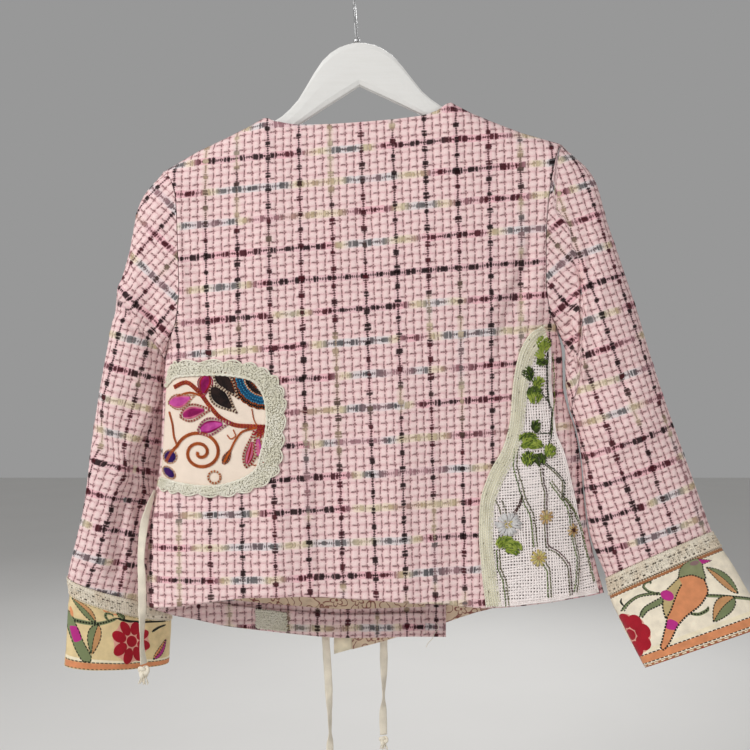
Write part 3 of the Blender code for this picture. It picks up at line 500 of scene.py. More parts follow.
# Tweed: thick pale pink yarns with thin brown threads between them, and dyed slub yarns every fourth yarn
tweed = {
    "across": 8.4, "down": 8.57, "step": 2.1, "every": 4.0, "spread": 0.37,
    "pillow": 0.30, "slub": 0.75, "slubWide": 0.34, "slubLong": 0.16, "thickness": 2.2,
    # pink and litPalePink: the thick yarns' colour at their shaded edges and at their lit middles, painted shade and
    # highlight
    "pink": (0.71, 0.44, 0.445), "litPalePink": (0.89, 0.70, 0.67), "thread": (0.155, 0.058, 0.060),
    # place in the run, colour of the slub, colour that it gives the yarns beside it
    "warpRuns": [
        (0.00, (0.004, 0.001, 0.0015), (0.70, 0.42, 0.45)), (0.42, (0.007, 0.0015, 0.002), (0.70, 0.42, 0.45)),
        (0.47, (0.045, 0.004, 0.008), (0.74, 0.40, 0.44)), (0.53, (0.066, 0.006, 0.011), (0.74, 0.40, 0.44)),
        (0.57, (0.025, 0.008, 0.009), (0.70, 0.43, 0.46)), (0.62, (0.06, 0.035, 0.030), (0.70, 0.47, 0.46)),
        (0.67, (0.40, 0.29, 0.20), (0.74, 0.60, 0.48)), (0.73, (0.56, 0.45, 0.32), (0.76, 0.62, 0.49)),
        (0.79, (0.12, 0.10, 0.10), (0.66, 0.58, 0.59)), (0.90, (0.34, 0.18, 0.19), (0.73, 0.48, 0.50)),
    ],
    "weftRuns": [
        (0.00, (0.004, 0.001, 0.0015), (0.70, 0.42, 0.45)), (0.32, (0.007, 0.0015, 0.002), (0.70, 0.42, 0.45)),
        (0.37, (0.050, 0.004, 0.009), (0.76, 0.38, 0.43)), (0.44, (0.066, 0.006, 0.011), (0.76, 0.38, 0.43)),
        (0.49, (0.32, 0.15, 0.17), (0.73, 0.47, 0.49)), (0.55, (0.50, 0.38, 0.24), (0.78, 0.65, 0.49)),
        (0.61, (0.60, 0.50, 0.34), (0.79, 0.66, 0.50)), (0.67, (0.17, 0.155, 0.155), (0.66, 0.62, 0.62)),
        (0.75, (0.075, 0.075, 0.08), (0.63, 0.62, 0.63)), (0.90, (0.36, 0.19, 0.21), (0.73, 0.49, 0.51)),
    ],
}


def tweedGroup():
    tree, make, given, result = newGroup(
        "tweedWeave", [("Weave", "Vector"), ("Seed", "Float")], [("Colour", "Color"), ("Height", "Float")]
    )
    drift = make.noise(given["Weave"], 0.8, 2.0, "Color")
    drift = make.vector("MULTIPLY", make.vector("SUBTRACT", drift, (0.5, 0.5, 0.5)), (0.34, 0.34, 0.0))
    u, v, _ = make.split(make.vector("ADD", given["Weave"], drift))
    grain = make.noise(make.join(make.times(u, 9.0), make.times(v, 9.0)), 1.0, 2.0)

    def beat(value):  # nearest whole yarn, and the distance to it
        nearest = make.calc("ROUND", value)
        return nearest, make.minus(value, nearest)

    yarnU, offU = beat(u)
    yarnV, offV = beat(v)
    farU = make.size(offU)
    farV = make.size(offV)
    odd = make.isOdd(make.total(yarnU, yarnV))
    reach = make.line(odd, 0.20, 0.30)
    upright = make.times(make.fall(farU, 0.045, 0.125), make.fall(make.minus(farV, reach), -0.06, 0.05))
    dashYarn, dashOff = beat(make.total(u, 0.22))
    dashOdd = make.isOdd(make.total(dashYarn, yarnV))
    dash = make.times(
        make.minus(1.0, dashOdd),
        make.fall(make.size(dashOff), 0.38, 0.52),
        make.fall(make.size(make.total(offV, 0.03)), 0.05, 0.14),
    )
    dotted = make.rise(make.noise(make.join(make.times(u, 6.0), make.times(v, 6.0)), 1.0, 1.0), 0.34, 0.58, 0.35, 1.0)
    thin = make.times(make.most(upright, make.times(dash, 0.95)), dotted)

    # Thick yarns lie between the thin ones, over and under by turns
    cellU, cellOffU = beat(make.total(u, 0.5))
    cellV, cellOffV = beat(make.total(v, 0.5))
    over = make.isOdd(make.total(cellU, cellV))

    def yarn(across, along):
        across = make.calc("POWER", make.size(make.times(across, 2.1)), 2.0)
        along = make.calc("POWER", make.size(make.times(along, 2.0)), 2.0)
        return make.minus(make.minus(1.0, across), make.times(along, 0.45))

    high = make.node("ShaderNodeMix", {"data_type": "FLOAT"})
    make.plug(high.inputs[0], over)
    make.plug(high.inputs[2], yarn(cellOffU, cellOffV))
    make.plug(high.inputs[3], yarn(cellOffV, cellOffU))
    pillow = make.most(high.outputs[0], 0.0)

    def chance(first, second, third):
        found = make.node("ShaderNodeTexWhiteNoise", {"noise_dimensions": "3D"})
        make.plug(found.inputs["Vector"], make.join(first, second, third))
        return found.outputs["Value"]

    rough = make.times(make.minus(grain, 0.5), 0.34)

    def slub(across, along, seedStep, runs, stretch, shortest, spread):
        line = make.calc("ROUND", make.calc("DIVIDE", across, tweed["every"]))
        off = make.minus(across, make.times(line, tweed["every"]))
        far = make.size(off)
        phase = make.total(make.times(along, 0.5), make.times(line, tweed["spread"]))
        index = make.calc("ROUND", phase)
        place = make.minus(phase, index)
        # each float is a soft block, and a thin pink yarn may cross it
        long = make.line(chance(index, line, seedStep), spread, shortest)
        wide = make.line(chance(line, index, seedStep), 0.14, 0.27)
        overlong = make.minus(make.size(make.line(rough, 0.22, place)), long)
        overwide = make.minus(make.size(make.total(off, rough)), wide)
        cornerLong = make.most(make.line(overlong, 2.0, 0.13), 0.0)
        cornerWide = make.most(make.total(overwide, 0.13), 0.0)
        corner = make.calc("SQRT", make.total(make.times(cornerLong, cornerLong), make.times(cornerWide, cornerWide)))
        blob = make.fall(corner, 0.06, 0.18)
        split = make.line(chance(index, seedStep, line), 0.34, -0.17)
        split = make.size(make.minus(place, split))
        blob = make.times(blob, make.rise(split, 0.018, 0.055, 0.25, 1.0))
        comb = make.times(place, 7.0)
        comb = make.size(make.minus(comb, make.calc("ROUND", comb)))
        bars = make.times(make.fall(comb, 0.20, 0.34), make.fall(make.total(far, rough), 0.11, 0.20), 0.85)
        stem = make.times(make.fall(far, 0.04, 0.10), dotted, 0.5)
        mask = make.most(blob, bars, stem)
        apart = make.total(make.times(line, seedStep), given["Seed"])
        run = make.noise(make.join(apart, make.times(along, stretch), seedStep), 1.0, 1.0)
        run = make.line(run, 1.9, -0.45)
        colour = make.ramp(run, [(place, yarnColour) for place, yarnColour, _ in runs])
        tint = make.ramp(run, [(place, beside) for place, _, beside in runs])
        band = make.fall(far, 0.38, 0.56)
        return mask, colour, tint, band, blob

    warp, warpColour, warpTint, warpBand, warpBlob = slub(u, v, 7.31, tweed["warpRuns"], 0.085, 0.12, 0.12)
    weft, weftColour, weftTint, weftBand, weftBlob = slub(v, u, 5.17, tweed["weftRuns"], 0.075, 0.16, 0.18)

    # painted highlight and shade: the thick yarns are lighter on their raised middles and darker towards their edges,
    # over a grain that varies at random
    light = make.line(pillow, 0.75, make.times(make.minus(grain, 0.5), 0.9))
    base = make.mix(light, tweed["pink"], tweed["litPalePink"])
    base = make.mix(make.times(warpBand, 0.35), base, warpTint)
    base = make.mix(make.times(weftBand, 0.75), base, weftTint)
    base = make.mix(make.rise(grain, 0.35, 0.65, 0.0, 0.22), base, (1.0, 0.90, 0.90), "SOFT_LIGHT")
    colour = make.mix(make.times(thin, 0.86), base, tweed["thread"])
    colour = make.mix(make.times(weft, 0.95), colour, weftColour)
    colour = make.mix(make.times(warp, 0.95), colour, warpColour)
    make.plug(result["Colour"], colour)
    height = make.total(
        make.times(pillow, 0.55), make.times(thin, -0.45), make.times(grain, 0.35),
        make.times(make.most(warp, weft), 0.30), make.times(make.most(warpBlob, weftBlob), 0.45),
    )
    make.plug(result["Height"], height)
    return tree


tweedNodes = tweedGroup()


def tweedMaterial(name, seed):
    material, make, shader = newMaterial(name, 0.92, 0.02)
    out = make.group(tweedNodes, Weave=clothPlace(make), Seed=seed)
    finishSurface(make, shader, out["Colour"], out["Height"], 0.0011, 0.85)
    return material


# Plain woven cloth, measured in threads, with a lightly mottled dye and painted shade in the hollows between the
# threads
def plainWeaveGroup():
    tree, make, given, result = newGroup(
        "plainWeave", [("Threads", "Vector"), ("Colour", "Color"), ("Mottle", "Float")],
        [("Colour", "Color"), ("Height", "Float")],
    )
    drift = make.vector("SUBTRACT", make.noise(given["Threads"], 0.35, 2.0, "Color"), (0.5, 0.5, 0.5))
    x, y, _ = make.split(make.vector("ADD", given["Threads"], make.vector("MULTIPLY", drift, (0.7, 0.7, 0.0))))
    waveX = make.calc("SINE", make.times(x, math.pi))
    waveY = make.calc("SINE", make.times(y, math.pi))
    height = make.line(make.times(waveX, waveY), 0.5, 0.5)
    slow = make.noise(given["Threads"], 0.045, 3.0)
    quick = make.noise(given["Threads"], 0.9, 2.0)
    # mottled dye, and painted shade: the hollows between the raised threads are darker
    shade = make.total(
        make.times(make.minus(slow, 0.5), given["Mottle"], 1.6),
        make.times(make.minus(quick, 0.5), given["Mottle"], 0.8),
        make.times(make.minus(height, 0.5), 0.10), 1.0,
    )
    colour = make.vector("MULTIPLY", given["Colour"], make.join(shade, shade, shade))
    make.plug(result["Colour"], colour)
    make.plug(result["Height"], make.total(height, make.times(quick, 0.4)))
    return tree


plainWeave = plainWeaveGroup()


def clothMaterial(name, colour, threads, mottle, roughness=0.85, depth=0.0003, holeShade=None):
    # threads: how many for each unit of the cloth's own coordinates
    material, make, shader = newMaterial(name, roughness, 0.15)
    place = make.scaled(clothPlace(make), threads)
    out = make.group(plainWeave, Threads=place, Colour=(*colour, 1.0), Mottle=mottle)
    shown = out["Colour"]
    # holes between the threads are painted dark, as the shade seen through them
    if holeShade:  # small holes between the threads
        spots = make.noise(make.vector("MULTIPLY", place, (0.30, 0.16, 0.0)), 1.0, 1.0)
        shown = make.mix(make.fall(spots, 0.29, 0.36), shown, holeShade)
    finishSurface(make, shader, shown, out["Height"], depth, 0.7)
    return material


# Yarn or thread: a twist along its length with painted shade in its grooves, and some change of colour from place to
# place
def yarnGroup():
    tree, make, given, result = newGroup(
        "twistedYarn", [("Place", "Vector"), ("Colour", "Color"), ("Other", "Color"), ("Scale", "Float")],
        [("Colour", "Color"), ("Height", "Float")],
    )
    around, along, _ = make.split(clothPlace(make))
    twist = make.calc("SINE", make.times(make.total(make.times(along, 1.6), make.times(around, 1.0)), 2 * math.pi))
    blotch = make.noise(make.scaled(given["Place"], 1.0), given["Scale"], 3.0)
    fine = make.noise(given["Place"], 2600.0, 2.0)
    colour = make.mix(make.rise(blotch, 0.38, 0.62), given["Colour"], given["Other"])
    # painted shade along the twist's grooves, and fine random specks
    shade = make.total(make.times(twist, 0.10), make.times(make.minus(fine, 0.5), 0.5), 0.95)
    make.plug(result["Colour"], make.vector("MULTIPLY", colour, make.join(shade, shade, shade)))
    make.plug(result["Height"], make.total(make.times(twist, 0.5), fine))
    return tree


yarnNodes = yarnGroup()


def yarnMaterial(name, colour, other, scale):
    material, make, shader = newMaterial(name, 0.75, 0.04)
    place = objectPlace(make)
    out = make.group(yarnNodes, Place=place, Colour=(*colour, 1.0), Other=(*other, 1.0), Scale=scale)
    finishSurface(make, shader, out["Colour"], out["Height"], 0.00025, 0.8)
    return material


# Lining: cream silk printed with small red-brown flowers drawn in line
def liningMaterial(name, ground, ink, size):
    petals = 5.0
    material, make, shader = newMaterial(name, 0.45, 0.1)
    place = make.scaled(clothPlace(make), size)
    bent = make.vector("ADD", place, make.scaled(make.noise(place, 3.0, 2.0, "Color"), 0.10))
    cells = make.node("ShaderNodeTexVoronoi", {"voronoi_dimensions": "2D"}, Vector=bent, Scale=1.0, Randomness=0.7)
    x, y, _ = make.split(make.vector("SUBTRACT", bent, cells.outputs["Position"]))
    angle = make.calc("ARCTAN2", y, x)
    wave = make.size(make.calc("SINE", make.times(angle, petals / 2)))
    rim = make.line(wave, 0.17, 0.13)
    flower = make.fall(make.size(make.minus(cells.outputs["Distance"], rim)), 0.020, 0.052)
    heart = make.fall(cells.outputs["Distance"], 0.055, 0.080)
    chosen, _, _ = make.split(cells.outputs["Color"])
    within = make.fall(make.minus(cells.outputs["Distance"], rim), -0.02, 0.01)
    filled = make.times(within, make.rise(chosen, 0.52, 0.56, 0.0, 0.7))
    swirl = make.noise(place, 2.4, 0.0)
    stem = make.fall(make.size(make.minus(swirl, 0.5)), 0.015, 0.044)
    stem = make.times(stem, make.rise(cells.outputs["Distance"], 0.30, 0.36))
    printed = make.most(flower, heart, filled, stem)
    inkMask = make.times(printed, make.rise(make.noise(place, 30.0, 2.0), 0.3, 0.5, 0.55, 1.0))
    out = make.group(plainWeave, Threads=make.scaled(clothPlace(make), 2.0), Colour=(*ground, 1.0), Mottle=0.25)
    finishSurface(make, shader, make.mix(inkMask, out["Colour"], ink), out["Height"], 0.00015, 0.5)
    return material


tweedCloth = tweedMaterial("pinkTweed", 3.0)
tweedInside = tweedMaterial("pinkTweedWrongSide", 41.0)
liningCloth = liningMaterial("printedLining", (0.72, 0.54, 0.38), (0.22, 0.035, 0.022), 0.042)
cuffLining = liningMaterial("printedCuffLining", (0.60, 0.55, 0.42), (0.22, 0.05, 0.05), 0.07)
facingCotton = clothMaterial("creamEdgeTape", (0.80, 0.70, 0.52), 1.2, 0.45, 0.85, 0.0004, holeShade=(0.30, 0.16, 0.10))
tieCotton = clothMaterial("creamTapeCotton", (0.80, 0.73, 0.60), 1.6, 0.30)
ivoryCotton = clothMaterial("ivoryPatchCotton", (0.82, 0.69, 0.575), 1.9, 0.10, 0.75, 0.0002)
crochetYarn = yarnMaterial("crochetYarn", (0.86, 0.82, 0.67), (0.95, 0.91, 0.78), 70.0)
# a darker copy of the crochet yarn, laid under the stitches: painted shade between them
crochetGround = yarnMaterial("crochetGround", (0.66, 0.62, 0.49), (0.78, 0.74, 0.60), 120.0)
laceYarn = yarnMaterial("creamLaceYarn", (0.95, 0.86, 0.71), (0.86, 0.74, 0.58), 60.0)
linenYarn = clothMaterial("whiteLinen", (0.96, 0.87, 0.84), 2.0, 0.25)
# a dark sheet under the side patch's net: painted shade seen through the net's holes
shadowBacking = clothMaterial("shadedBacking", (0.11, 0.062, 0.052), 1.5, 0.8, 0.9)
ribbonLace = clothMaterial("greyGreenRibbon", (0.78, 0.73, 0.55), 1.4, 0.35, 0.8, 0.0004, holeShade=(0.20, 0.16, 0.10))
threadColours = {
    "rustThread": ((0.56, 0.12, 0.018), (0.40, 0.07, 0.010)),
    "redThread": ((0.45, 0.02, 0.03), (0.28, 0.010, 0.02)),
    "magentaThread": ((0.42, 0.015, 0.16), (0.26, 0.008, 0.09)),
    "orchidThread": ((0.66, 0.10, 0.40), (0.52, 0.05, 0.30)),
    "pinkThread": ((0.74, 0.20, 0.32), (0.60, 0.12, 0.22)),
    "navyThread": ((0.035, 0.008, 0.13), (0.07, 0.010, 0.13)),
    "blueThread": ((0.002, 0.04, 0.12), (0.006, 0.095, 0.21)),
    "skyThread": ((0.07, 0.34, 0.50), (0.03, 0.22, 0.38)),
    "blackThread": ((0.012, 0.008, 0.008), (0.03, 0.016, 0.014)),
    "creamThread": ((0.72, 0.62, 0.46), (0.60, 0.42, 0.28)),
    "limeThread": ((0.42, 0.50, 0.09), (0.27, 0.35, 0.05)),
    "leafThread": ((0.16, 0.24, 0.04), (0.08, 0.13, 0.02)),
    "darkLeafThread": ((0.025, 0.045, 0.010), (0.05, 0.07, 0.02)),
    "vineThread": ((0.10, 0.09, 0.035), (0.20, 0.20, 0.09)),
    "wineThread": ((0.10, 0.025, 0.02), (0.05, 0.02, 0.015)),
    "whiteThread": ((0.80, 0.78, 0.76), (0.70, 0.68, 0.68)),
    "tanThread": ((0.55, 0.33, 0.13), (0.68, 0.50, 0.26)),
    "yellowThread": ((0.70, 0.60, 0.24), (0.60, 0.46, 0.14)),
}
threadMaterials = [yarnMaterial(name, *colours, scale=110.0) for name, colours in threadColours.items()]
# each thread's place among them
rust, red, magenta, orchid, pink, navy, blue, sky, black = range(9)
cream, lime, leaf, darkLeaf, vine, wine, white, tan, yellow = range(9, 18)
print("materials:", len(bpy.data.materials))


# The part's own measures, in millimetres, as in its solids
armSeam = 0.75
seam = 0.2

# Depth of the hanging body
shoulderHalf = 10.5
shoulderFall = 5.0
neckHalf = 11.0
neckRamp = 6.0
armHalf = 22.0
armFall = 12.0
underarmFall = 16.0
backSideFall = 45.0
frontSideFall = 28.0
overlap = 7.0
overlapFrom = 120.0
overlapTo = 190.0
overlapFall = 120.0
foldSide = 25.0  # how far from the sides and the shoulders the folds reach their height
foldTop = 60.0

# Left and right edge of the body: the armhole, then the side seam
# z, x
edgeRows = {
    "left": [
        (-211.9, -203.5), (-225, -193), (-247.5, -187), (-300.7, -184.9), (-343.2, -183.8), (-374.9, -187.8),
        (-390, -194), (-401, -200.3), (-433.6, -204.6), (-460.8, -205.7), (-515.1, -207.9), (-558.6, -213.3),
        (-602.1, -219.8), (-645.5, -223.1), (-686.3, -223.1),
    ],
    "right": [
        (-182.6, 225.7), (-200, 217.5), (-221.9, 212.9), (-252.8, 208.7), (-290, 206.6), (-332.6, 206.6),
        (-356, 209.5), (-372, 214.8), (-384.7, 222.5), (-411.9, 227.9), (-446.7, 229), (-467.3, 233.3),
        (-495.6, 242.6), (-530.3, 248.5), (-557.5, 250.7), (-596.6, 255.1), (-639, 264.8), (-670, 273.5),
    ],
}
underarm = {"left": -401, "right": -384.7}

# Shoulders and back neck, from the left shoulder tip to the right one
# x, z
topEdgeRows = [
    (-203.5, -211.9), (-167.7, -190.8), (-135.1, -175.3), (-110.1, -162.5), (-96, -154.3), (-85.2, -160),
    (-60.3, -164.4), (-23.7, -163.7), (8.5, -161.6), (46.2, -158.4), (75.2, -154.6), (91.5, -149.2),
    (107.3, -137.5), (129.4, -149.1), (152.9, -158.7), (183.8, -170.6), (225.7, -182.6),
]
neckPoint = {"left": (-96, -154.3), "right": (107.3, -137.5)}

# x, z
backHem = [
    (-223.1, -686.3), (-182.7, -679.3), (-134.8, -670.4), (-96.8, -666), (-60.1, -665.3), (-1.4, -667.6),
    (80.9, -672.1), (142.3, -677.4), (206.1, -673.7), (239.5, -670.8), (273.5, -670),
]
frontHem = {
    "left": [
        (-223.1, -686.3), (-200.6, -701.1), (-175.9, -709.2), (-146.9, -717.4), (-109.1, -723.9),
        (-60.6, -728.1), (5.3, -732.1), (105.3, -731),
    ],
    "right": [
        (-22.3, -751.6), (35, -737.2), (104.6, -716.3), (148.4, -701.5), (209.5, -687.9), (273.5, -670),
    ],
}

# Neckline and front edge of each front, from the neck point down to the hem
# z, x
frontEdge = {
    "left": [
        (-154.3, -96), (-185, -87), (-235, -56), (-290, 0), (-340, 55), (-385, 92), (-430, 104), (-520, 105.3),
        (-731, 105.3),
    ],
    "right": [
        (-137.5, 107.3), (-170, 99), (-220, 74), (-275, 26), (-330, -9), (-375, -20), (-420, -22.3),
        (-520, -22.3), (-751.6, -22.3),
    ],
}

# How much deeper the body is, below the shoulder line
# distance below, back, front
bodyDepthRows = [
    (0, 0, 0), (40, 5, 8), (120, 16, 20), (220, 23, 28), (380, 27, 34), (560, 33, 38),
]

# Folds of the body, each a soft ridge along a line, or a trough where its height is negative
# x at top, z at top, x at foot, z at foot, half width, height
backFolds = [
    (-62, -420, -84, -690, 20, 4), (-20, -470, -28, -690, 24, -3.5), (38, -380, 58, -690, 22, 4),
    (96, -440, 112, -690, 18, -3.5), (-176, -290, -150, -400, 12, -3), (196, -280, 168, -390, 12, -3),
]
frontFolds = [
    (-80, -330, -110, -740, 24, 3.5), (-20, -400, -34, -760, 22, -3), (60, -400, 66, -760, 22, 3),
    (150, -330, 176, -730, 20, 3.5),
]

# Stations down each sleeve: outer edge, inner edge, half depth, and how far the far side hangs
# outer x, outer z, inner x, inner y, inner z, half depth, drop of the far side per mm
sleeveRows = {
    "left": [
        (-203.5, -211.9, -200.3, 0, -401, 22, 0), (-230, -246, -205, 12, -425, 25, 0),
        (-242, -300, -207.5, 24, -455, 28, 0), (-254, -343, -208, 32, -485, 29, 0),
        (-264, -392, -210, 40, -520, 29, 0), (-273, -441, -213, 48, -556, 28, 0),
        (-283, -505, -213, 55, -600, 27, 0), (-291.5, -575, -212, 60, -650, 26, 0),
        (-309, -654, -210.5, 62, -693.9, 25, 0), (-307.3, -671.1, -210.3, 62, -712.4, 24, 0),
        (-313.3, -749.9, -213.1, 62, -762.6, 23, 0),
    ],
    "right": [
        (225.7, -182.6, 222.5, 0, -384.7, 22, 0), (262, -219, 231.5, 0, -410, 25, 0),
        (276.5, -267, 232, 0, -440, 28, 0), (292.5, -315, 235.5, 0, -466, 29, 0),
        (309.5, -366, 243.7, 0, -494, 29, 0.05), (326, -420, 249.6, 0, -528, 28, 0.12),
        (346, -480, 252.6, 0, -562, 27, 0.2), (368, -541, 258.3, 0, -607, 26, 0.3),
        (390.9, -604.2, 276, 0, -654.2, 25, 0.38), (400.7, -620.5, 279.5, 0, -672.7, 24, 0.38),
        (452.8, -705.3, 317.5, 0, -752, 23, 0.38),
    ],
}
capEndsAt = 2.6
seamFadesAt = 0.28
laceStation = 8
cuffStation = 9
cuffEnd = 10

# Creases of the sleeves: station and angle at each end, half width in degrees, height
# station from, angle from, station to, angle to, half width, height
sleeveCreases = {
    "left": [
        (2.4, 156, 6.7, 73, 7.5, -9), (2.6, 171, 6.7, 94, 13, -8), (2.4, 139, 6.7, 57, 9, 3),
        (6.6, 74, 7.6, 76, 7, -5), (6.6, 59, 7.6, 61, 8, 2.5), (2, -150, 3.4, -70, 16, -4),
        (5.6, 150, 7, 80, 16, 4), (6.2, -120, 7.6, -70, 18, -3),
    ],
    "right": [
        (0.3, 94, 2.9, 139, 6.5, -7.5), (0.3, 80, 2.9, 124, 7.5, 4), (0.5, 160, 2.8, 142, 6, -5),
        (3, 140, 4.8, 70, 15, -5), (4.6, 130, 6, 60, 15, 3.5), (5.8, 110, 7.4, 50, 15, -4),
        (1.6, -140, 3.2, -60, 16, -4), (5, -120, 6.6, -60, 16, -3),
    ],
}

# Floral patch: its border runs from the side seam round the right and back to the side seam
# x, z
borderOuter = [
    (-196, -423), (-187.6, -416.6), (-137.9, -415.8), (-101, -420), (-77.7, -438.8), (-69.4, -465),
    (-71.4, -501.5), (-76.7, -532.9), (-106.2, -554), (-143.2, -560.5), (-186, -558.8), (-208, -556),
]
borderInner = [
    (-201, -447), (-186, -435.7), (-143.2, -433.6), (-106.2, -438.8), (-91.4, -457.8), (-88.5, -480),
    (-92, -506), (-101, -528), (-121.9, -541.5), (-150, -547), (-180, -545), (-205.5, -540),
]
scallops = 21
scallopDepth = 1.6

# Linen side patch: its ribbon binding, then the edge of the linen next to the side seam
# outer x, outer z, inner x, inner z
binding = [
    (205, -380, 209, -397), (190.3, -390.3, 200.5, -405), (177.8, -412.6, 190.7, -419.9),
    (171.2, -444.1, 184.8, -449.3), (167.8, -480.6, 180.3, -485.9), (160.5, -508.8, 172, -517.2),
    (144.7, -538, 156.1, -547.4), (135.2, -569.2, 147.7, -574.4), (134, -600.3, 146.5, -605.5),
    (137, -641.7, 150.6, -646.9), (141, -675, 154.8, -674.6),
]
# z, x
linenEdge = [
    (-399, 213.7), (-460.4, 215.5), (-494.6, 218.3), (-514, 226.2), (-546.4, 235.2), (-589.7, 245.3),
    (-633.1, 256), (-668, 266),
]

hemInset = 3.0
facingFrom = 0.015
facingTo = 0.95
scrapLeft = -110.0
scrapRight = -76.0
scrapRise = 22.0

# Tapes that tie the jacket: points of the middle of each tape, and how its face is turned there
# x, y, z, turn in degrees
sideTie = [
    (-214.5, -0.6, -559, 90), (-219.2, -5.2, -574, 60), (-224, -8.2, -594, 20), (-226.5, -8.5, -614, -10),
    (-227.6, -8.5, -634, -20), (-226.4, -8.5, -656, 10), (-226.2, -8.5, -680, 20), (-226.4, -8.5, -702, 60),
    (-226.6, -8.5, -724, 75), (-224.6, -8.5, -745, 50),
]
rightFrontTie = [
    (-26.6, 51.4, -560, 0), (-27.5, 52, -582, 0), (-30, 53, -606, 0), (-31.2, 54.2, -630, 0),
    (-32.2, 55.2, -655, 0), (-32.4, 55.8, -680, 0), (-32.4, 56.2, -705, 0), (-32, 56.5, -730, 0),
    (-30.6, 56.6, -755, 0), (-29, 56.6, -780, 0), (-28, 56.6, -802, 20), (-27.2, 56.6, -822, 60),
    (-26.8, 56.6, -842, 70), (-27, 56.6, -862, 20), (-27, 56.6, -880, 30),
]
outerFrontTie = [
    (33, 58.4, -560, 0), (33, 60.4, -585, 0), (33.2, 61.4, -610, 0), (33.4, 61.5, -635, 0), (33.8, 62, -660, 0),
    (34, 62.5, -685, 0), (34.4, 62.5, -710, 0), (34.6, 62.5, -735, 0), (34.8, 62.5, -760, 10),
    (35, 62.5, -782, 40), (34.6, 62.5, -802, 70), (34, 62.5, -824, 20), (34.6, 62.5, -848, 10),
]
tapeHalfWidth = 4.4
tapeHalfThickness = 0.7
knotGap = 0.5

# Ties: cotton tapes that hang free, with knots at their ends
tapeLook = {"section": 10, "spacing": 2.0, "swell": 0.10, "ripple": 0.35}
ties = [
    # name, rows, seed, size of the knot
    ("tie_side", sideTie, 1, 1.5), ("tie_right_front", rightFrontTie, 2, 1.2),
    ("tie_outer_front", outerFrontTie, 3, 1.2),
]


def tapeMesh(name, rows, seed):
    dense = tablePoints(rows, 40 * len(rows))
    reach = reachAlong(dense[:, :3])
    count = int(reach[-1] / tapeLook["spacing"]) + 1
    at = np.linspace(0, reach[-1], count)
    rail = together(*(np.interp(at, reach, dense[:, column]) for column in range(4)))
    path, turn = rail[:, :3], np.radians(rail[:, 3])
    along = unitRows(np.gradient(path, axis=0))
    flat = unitRows(np.cross(along, np.array([0.0, 1.0, 0.0])))
    face = np.cross(flat, along)
    wide = flat * np.cos(turn)[:, None] + face * np.sin(turn)[:, None]
    thick = np.cross(along, wide)
    random = np.random.default_rng(seed)
    waves = sum(np.sin(at / length + random.uniform(0, 6.28)) for length in (3.1, 5.3, 9.7)) / 3
    turns = np.arange(tapeLook["section"]) * 2 * math.pi / tapeLook["section"]
    square = np.sign(np.cos(turns)) * np.abs(np.cos(turns)) ** 0.7
    halfWide = tapeHalfWidth * (1 + tapeLook["swell"] * waves / 2)
    bow = tapeLook["ripple"] * waves[:, None] * np.cos(turns)[None, :]
    rings = (
        path[:, None]
        + (square[None, :] * halfWide[:, None])[..., None] * wide[:, None]
        + (np.sin(turns)[None, :] * tapeHalfThickness * 1.15 + bow)[..., None] * thick[:, None]
    )
    sides = len(turns)
    faces, uvs = [], []
    spread = [tapeHalfWidth * math.cos(turn) for turn in turns]
    for row in range(count - 1):
        for place in range(sides):
            near, far = spread[place], spread[(place + 1) % sides]
            faces.append(cell(row, place, sides))
            uvs += [(near, at[row]), (far, at[row]), (far, at[row + 1]), (near, at[row + 1])]
    last = (count - 1) * sides
    faces += [tuple(reversed(range(sides))), tuple(last + place for place in range(sides))]
    uvs += [(side, 0.0) for side in reversed(spread)] + [(side, at[-1]) for side in spread]
    made = addMesh(name + "_tape", rings.reshape(-1, 3), faces, uvs, [tieCotton])
    turnOutwards(made)
    return standsFor(made, name), path, float(reach[-1])


def tieKnot(name, rows, seed, size):  # an overhand knot pulled tight, and the frayed end below it
    x, y, z, _ = rows[-1]
    random = np.random.default_rng(seed + 10)
    middle = np.array([x, y, z - knotGap - 5.2 * size])
    turns = np.linspace(0, 2 * math.pi, 49)
    loop = together(
        (np.sin(turns) + 2 * np.sin(2 * turns)) * 1.05,
        -np.sin(3 * turns) * 1.35,
        (np.cos(turns) - 2 * np.cos(2 * turns)) * 1.15,
    )
    bundle = Bundle()
    bundle.sweep(middle + loop * size, (0.3, 1.0, 0.2), 1.9 * size, 1.25 * size, 8)
    for _ in range(14):
        lean = random.uniform(-1, 1, 2)
        root = middle + np.array([lean[0] * 1.6, lean[1] * 1.0, -3.0]) * size
        tip = root + np.array([lean[0] * 2.2, lean[1] * 1.4, -5.6 + random.uniform(-0.6, 1.6)]) * size
        bend = (root + tip) / 2 + np.array([random.uniform(-0.6, 0.6), random.uniform(-0.4, 0.4), 0.0])
        bundle.sweep(smoothLine([root, bend, tip], 1.0), (0.0, 1.0, 0.1), 0.55, 0.5, 5)
    made = bundle.make(name + "_knot_tied", [tieCotton])
    return standsFor(made, name + "_knot")


for name, rows, seed, size in ties:
    knotMade = tieKnot(name, rows, seed, size)
    tapeMade, path, reach = tapeMesh(name, rows, seed)
    print(name, "length in millimetres:", round(reach, 1))


# The body's surfaces, the same as the solids'
def leftEdge(z):
    return columnValue(edgeRows["left"], 0, 1, z)


def rightEdge(z):
    return columnValue(edgeRows["right"], 0, 1, z)


def fromSides(x, z):  # 0 at both side seams, 1 from a little inside them
    return ramp((x - leftEdge(z)) / edgeFade) * ramp((rightEdge(z) - x) / edgeFade)


def topEdge(x):
    return np.interp(x, [row[0] for row in topEdgeRows], [row[1] for row in topEdgeRows])


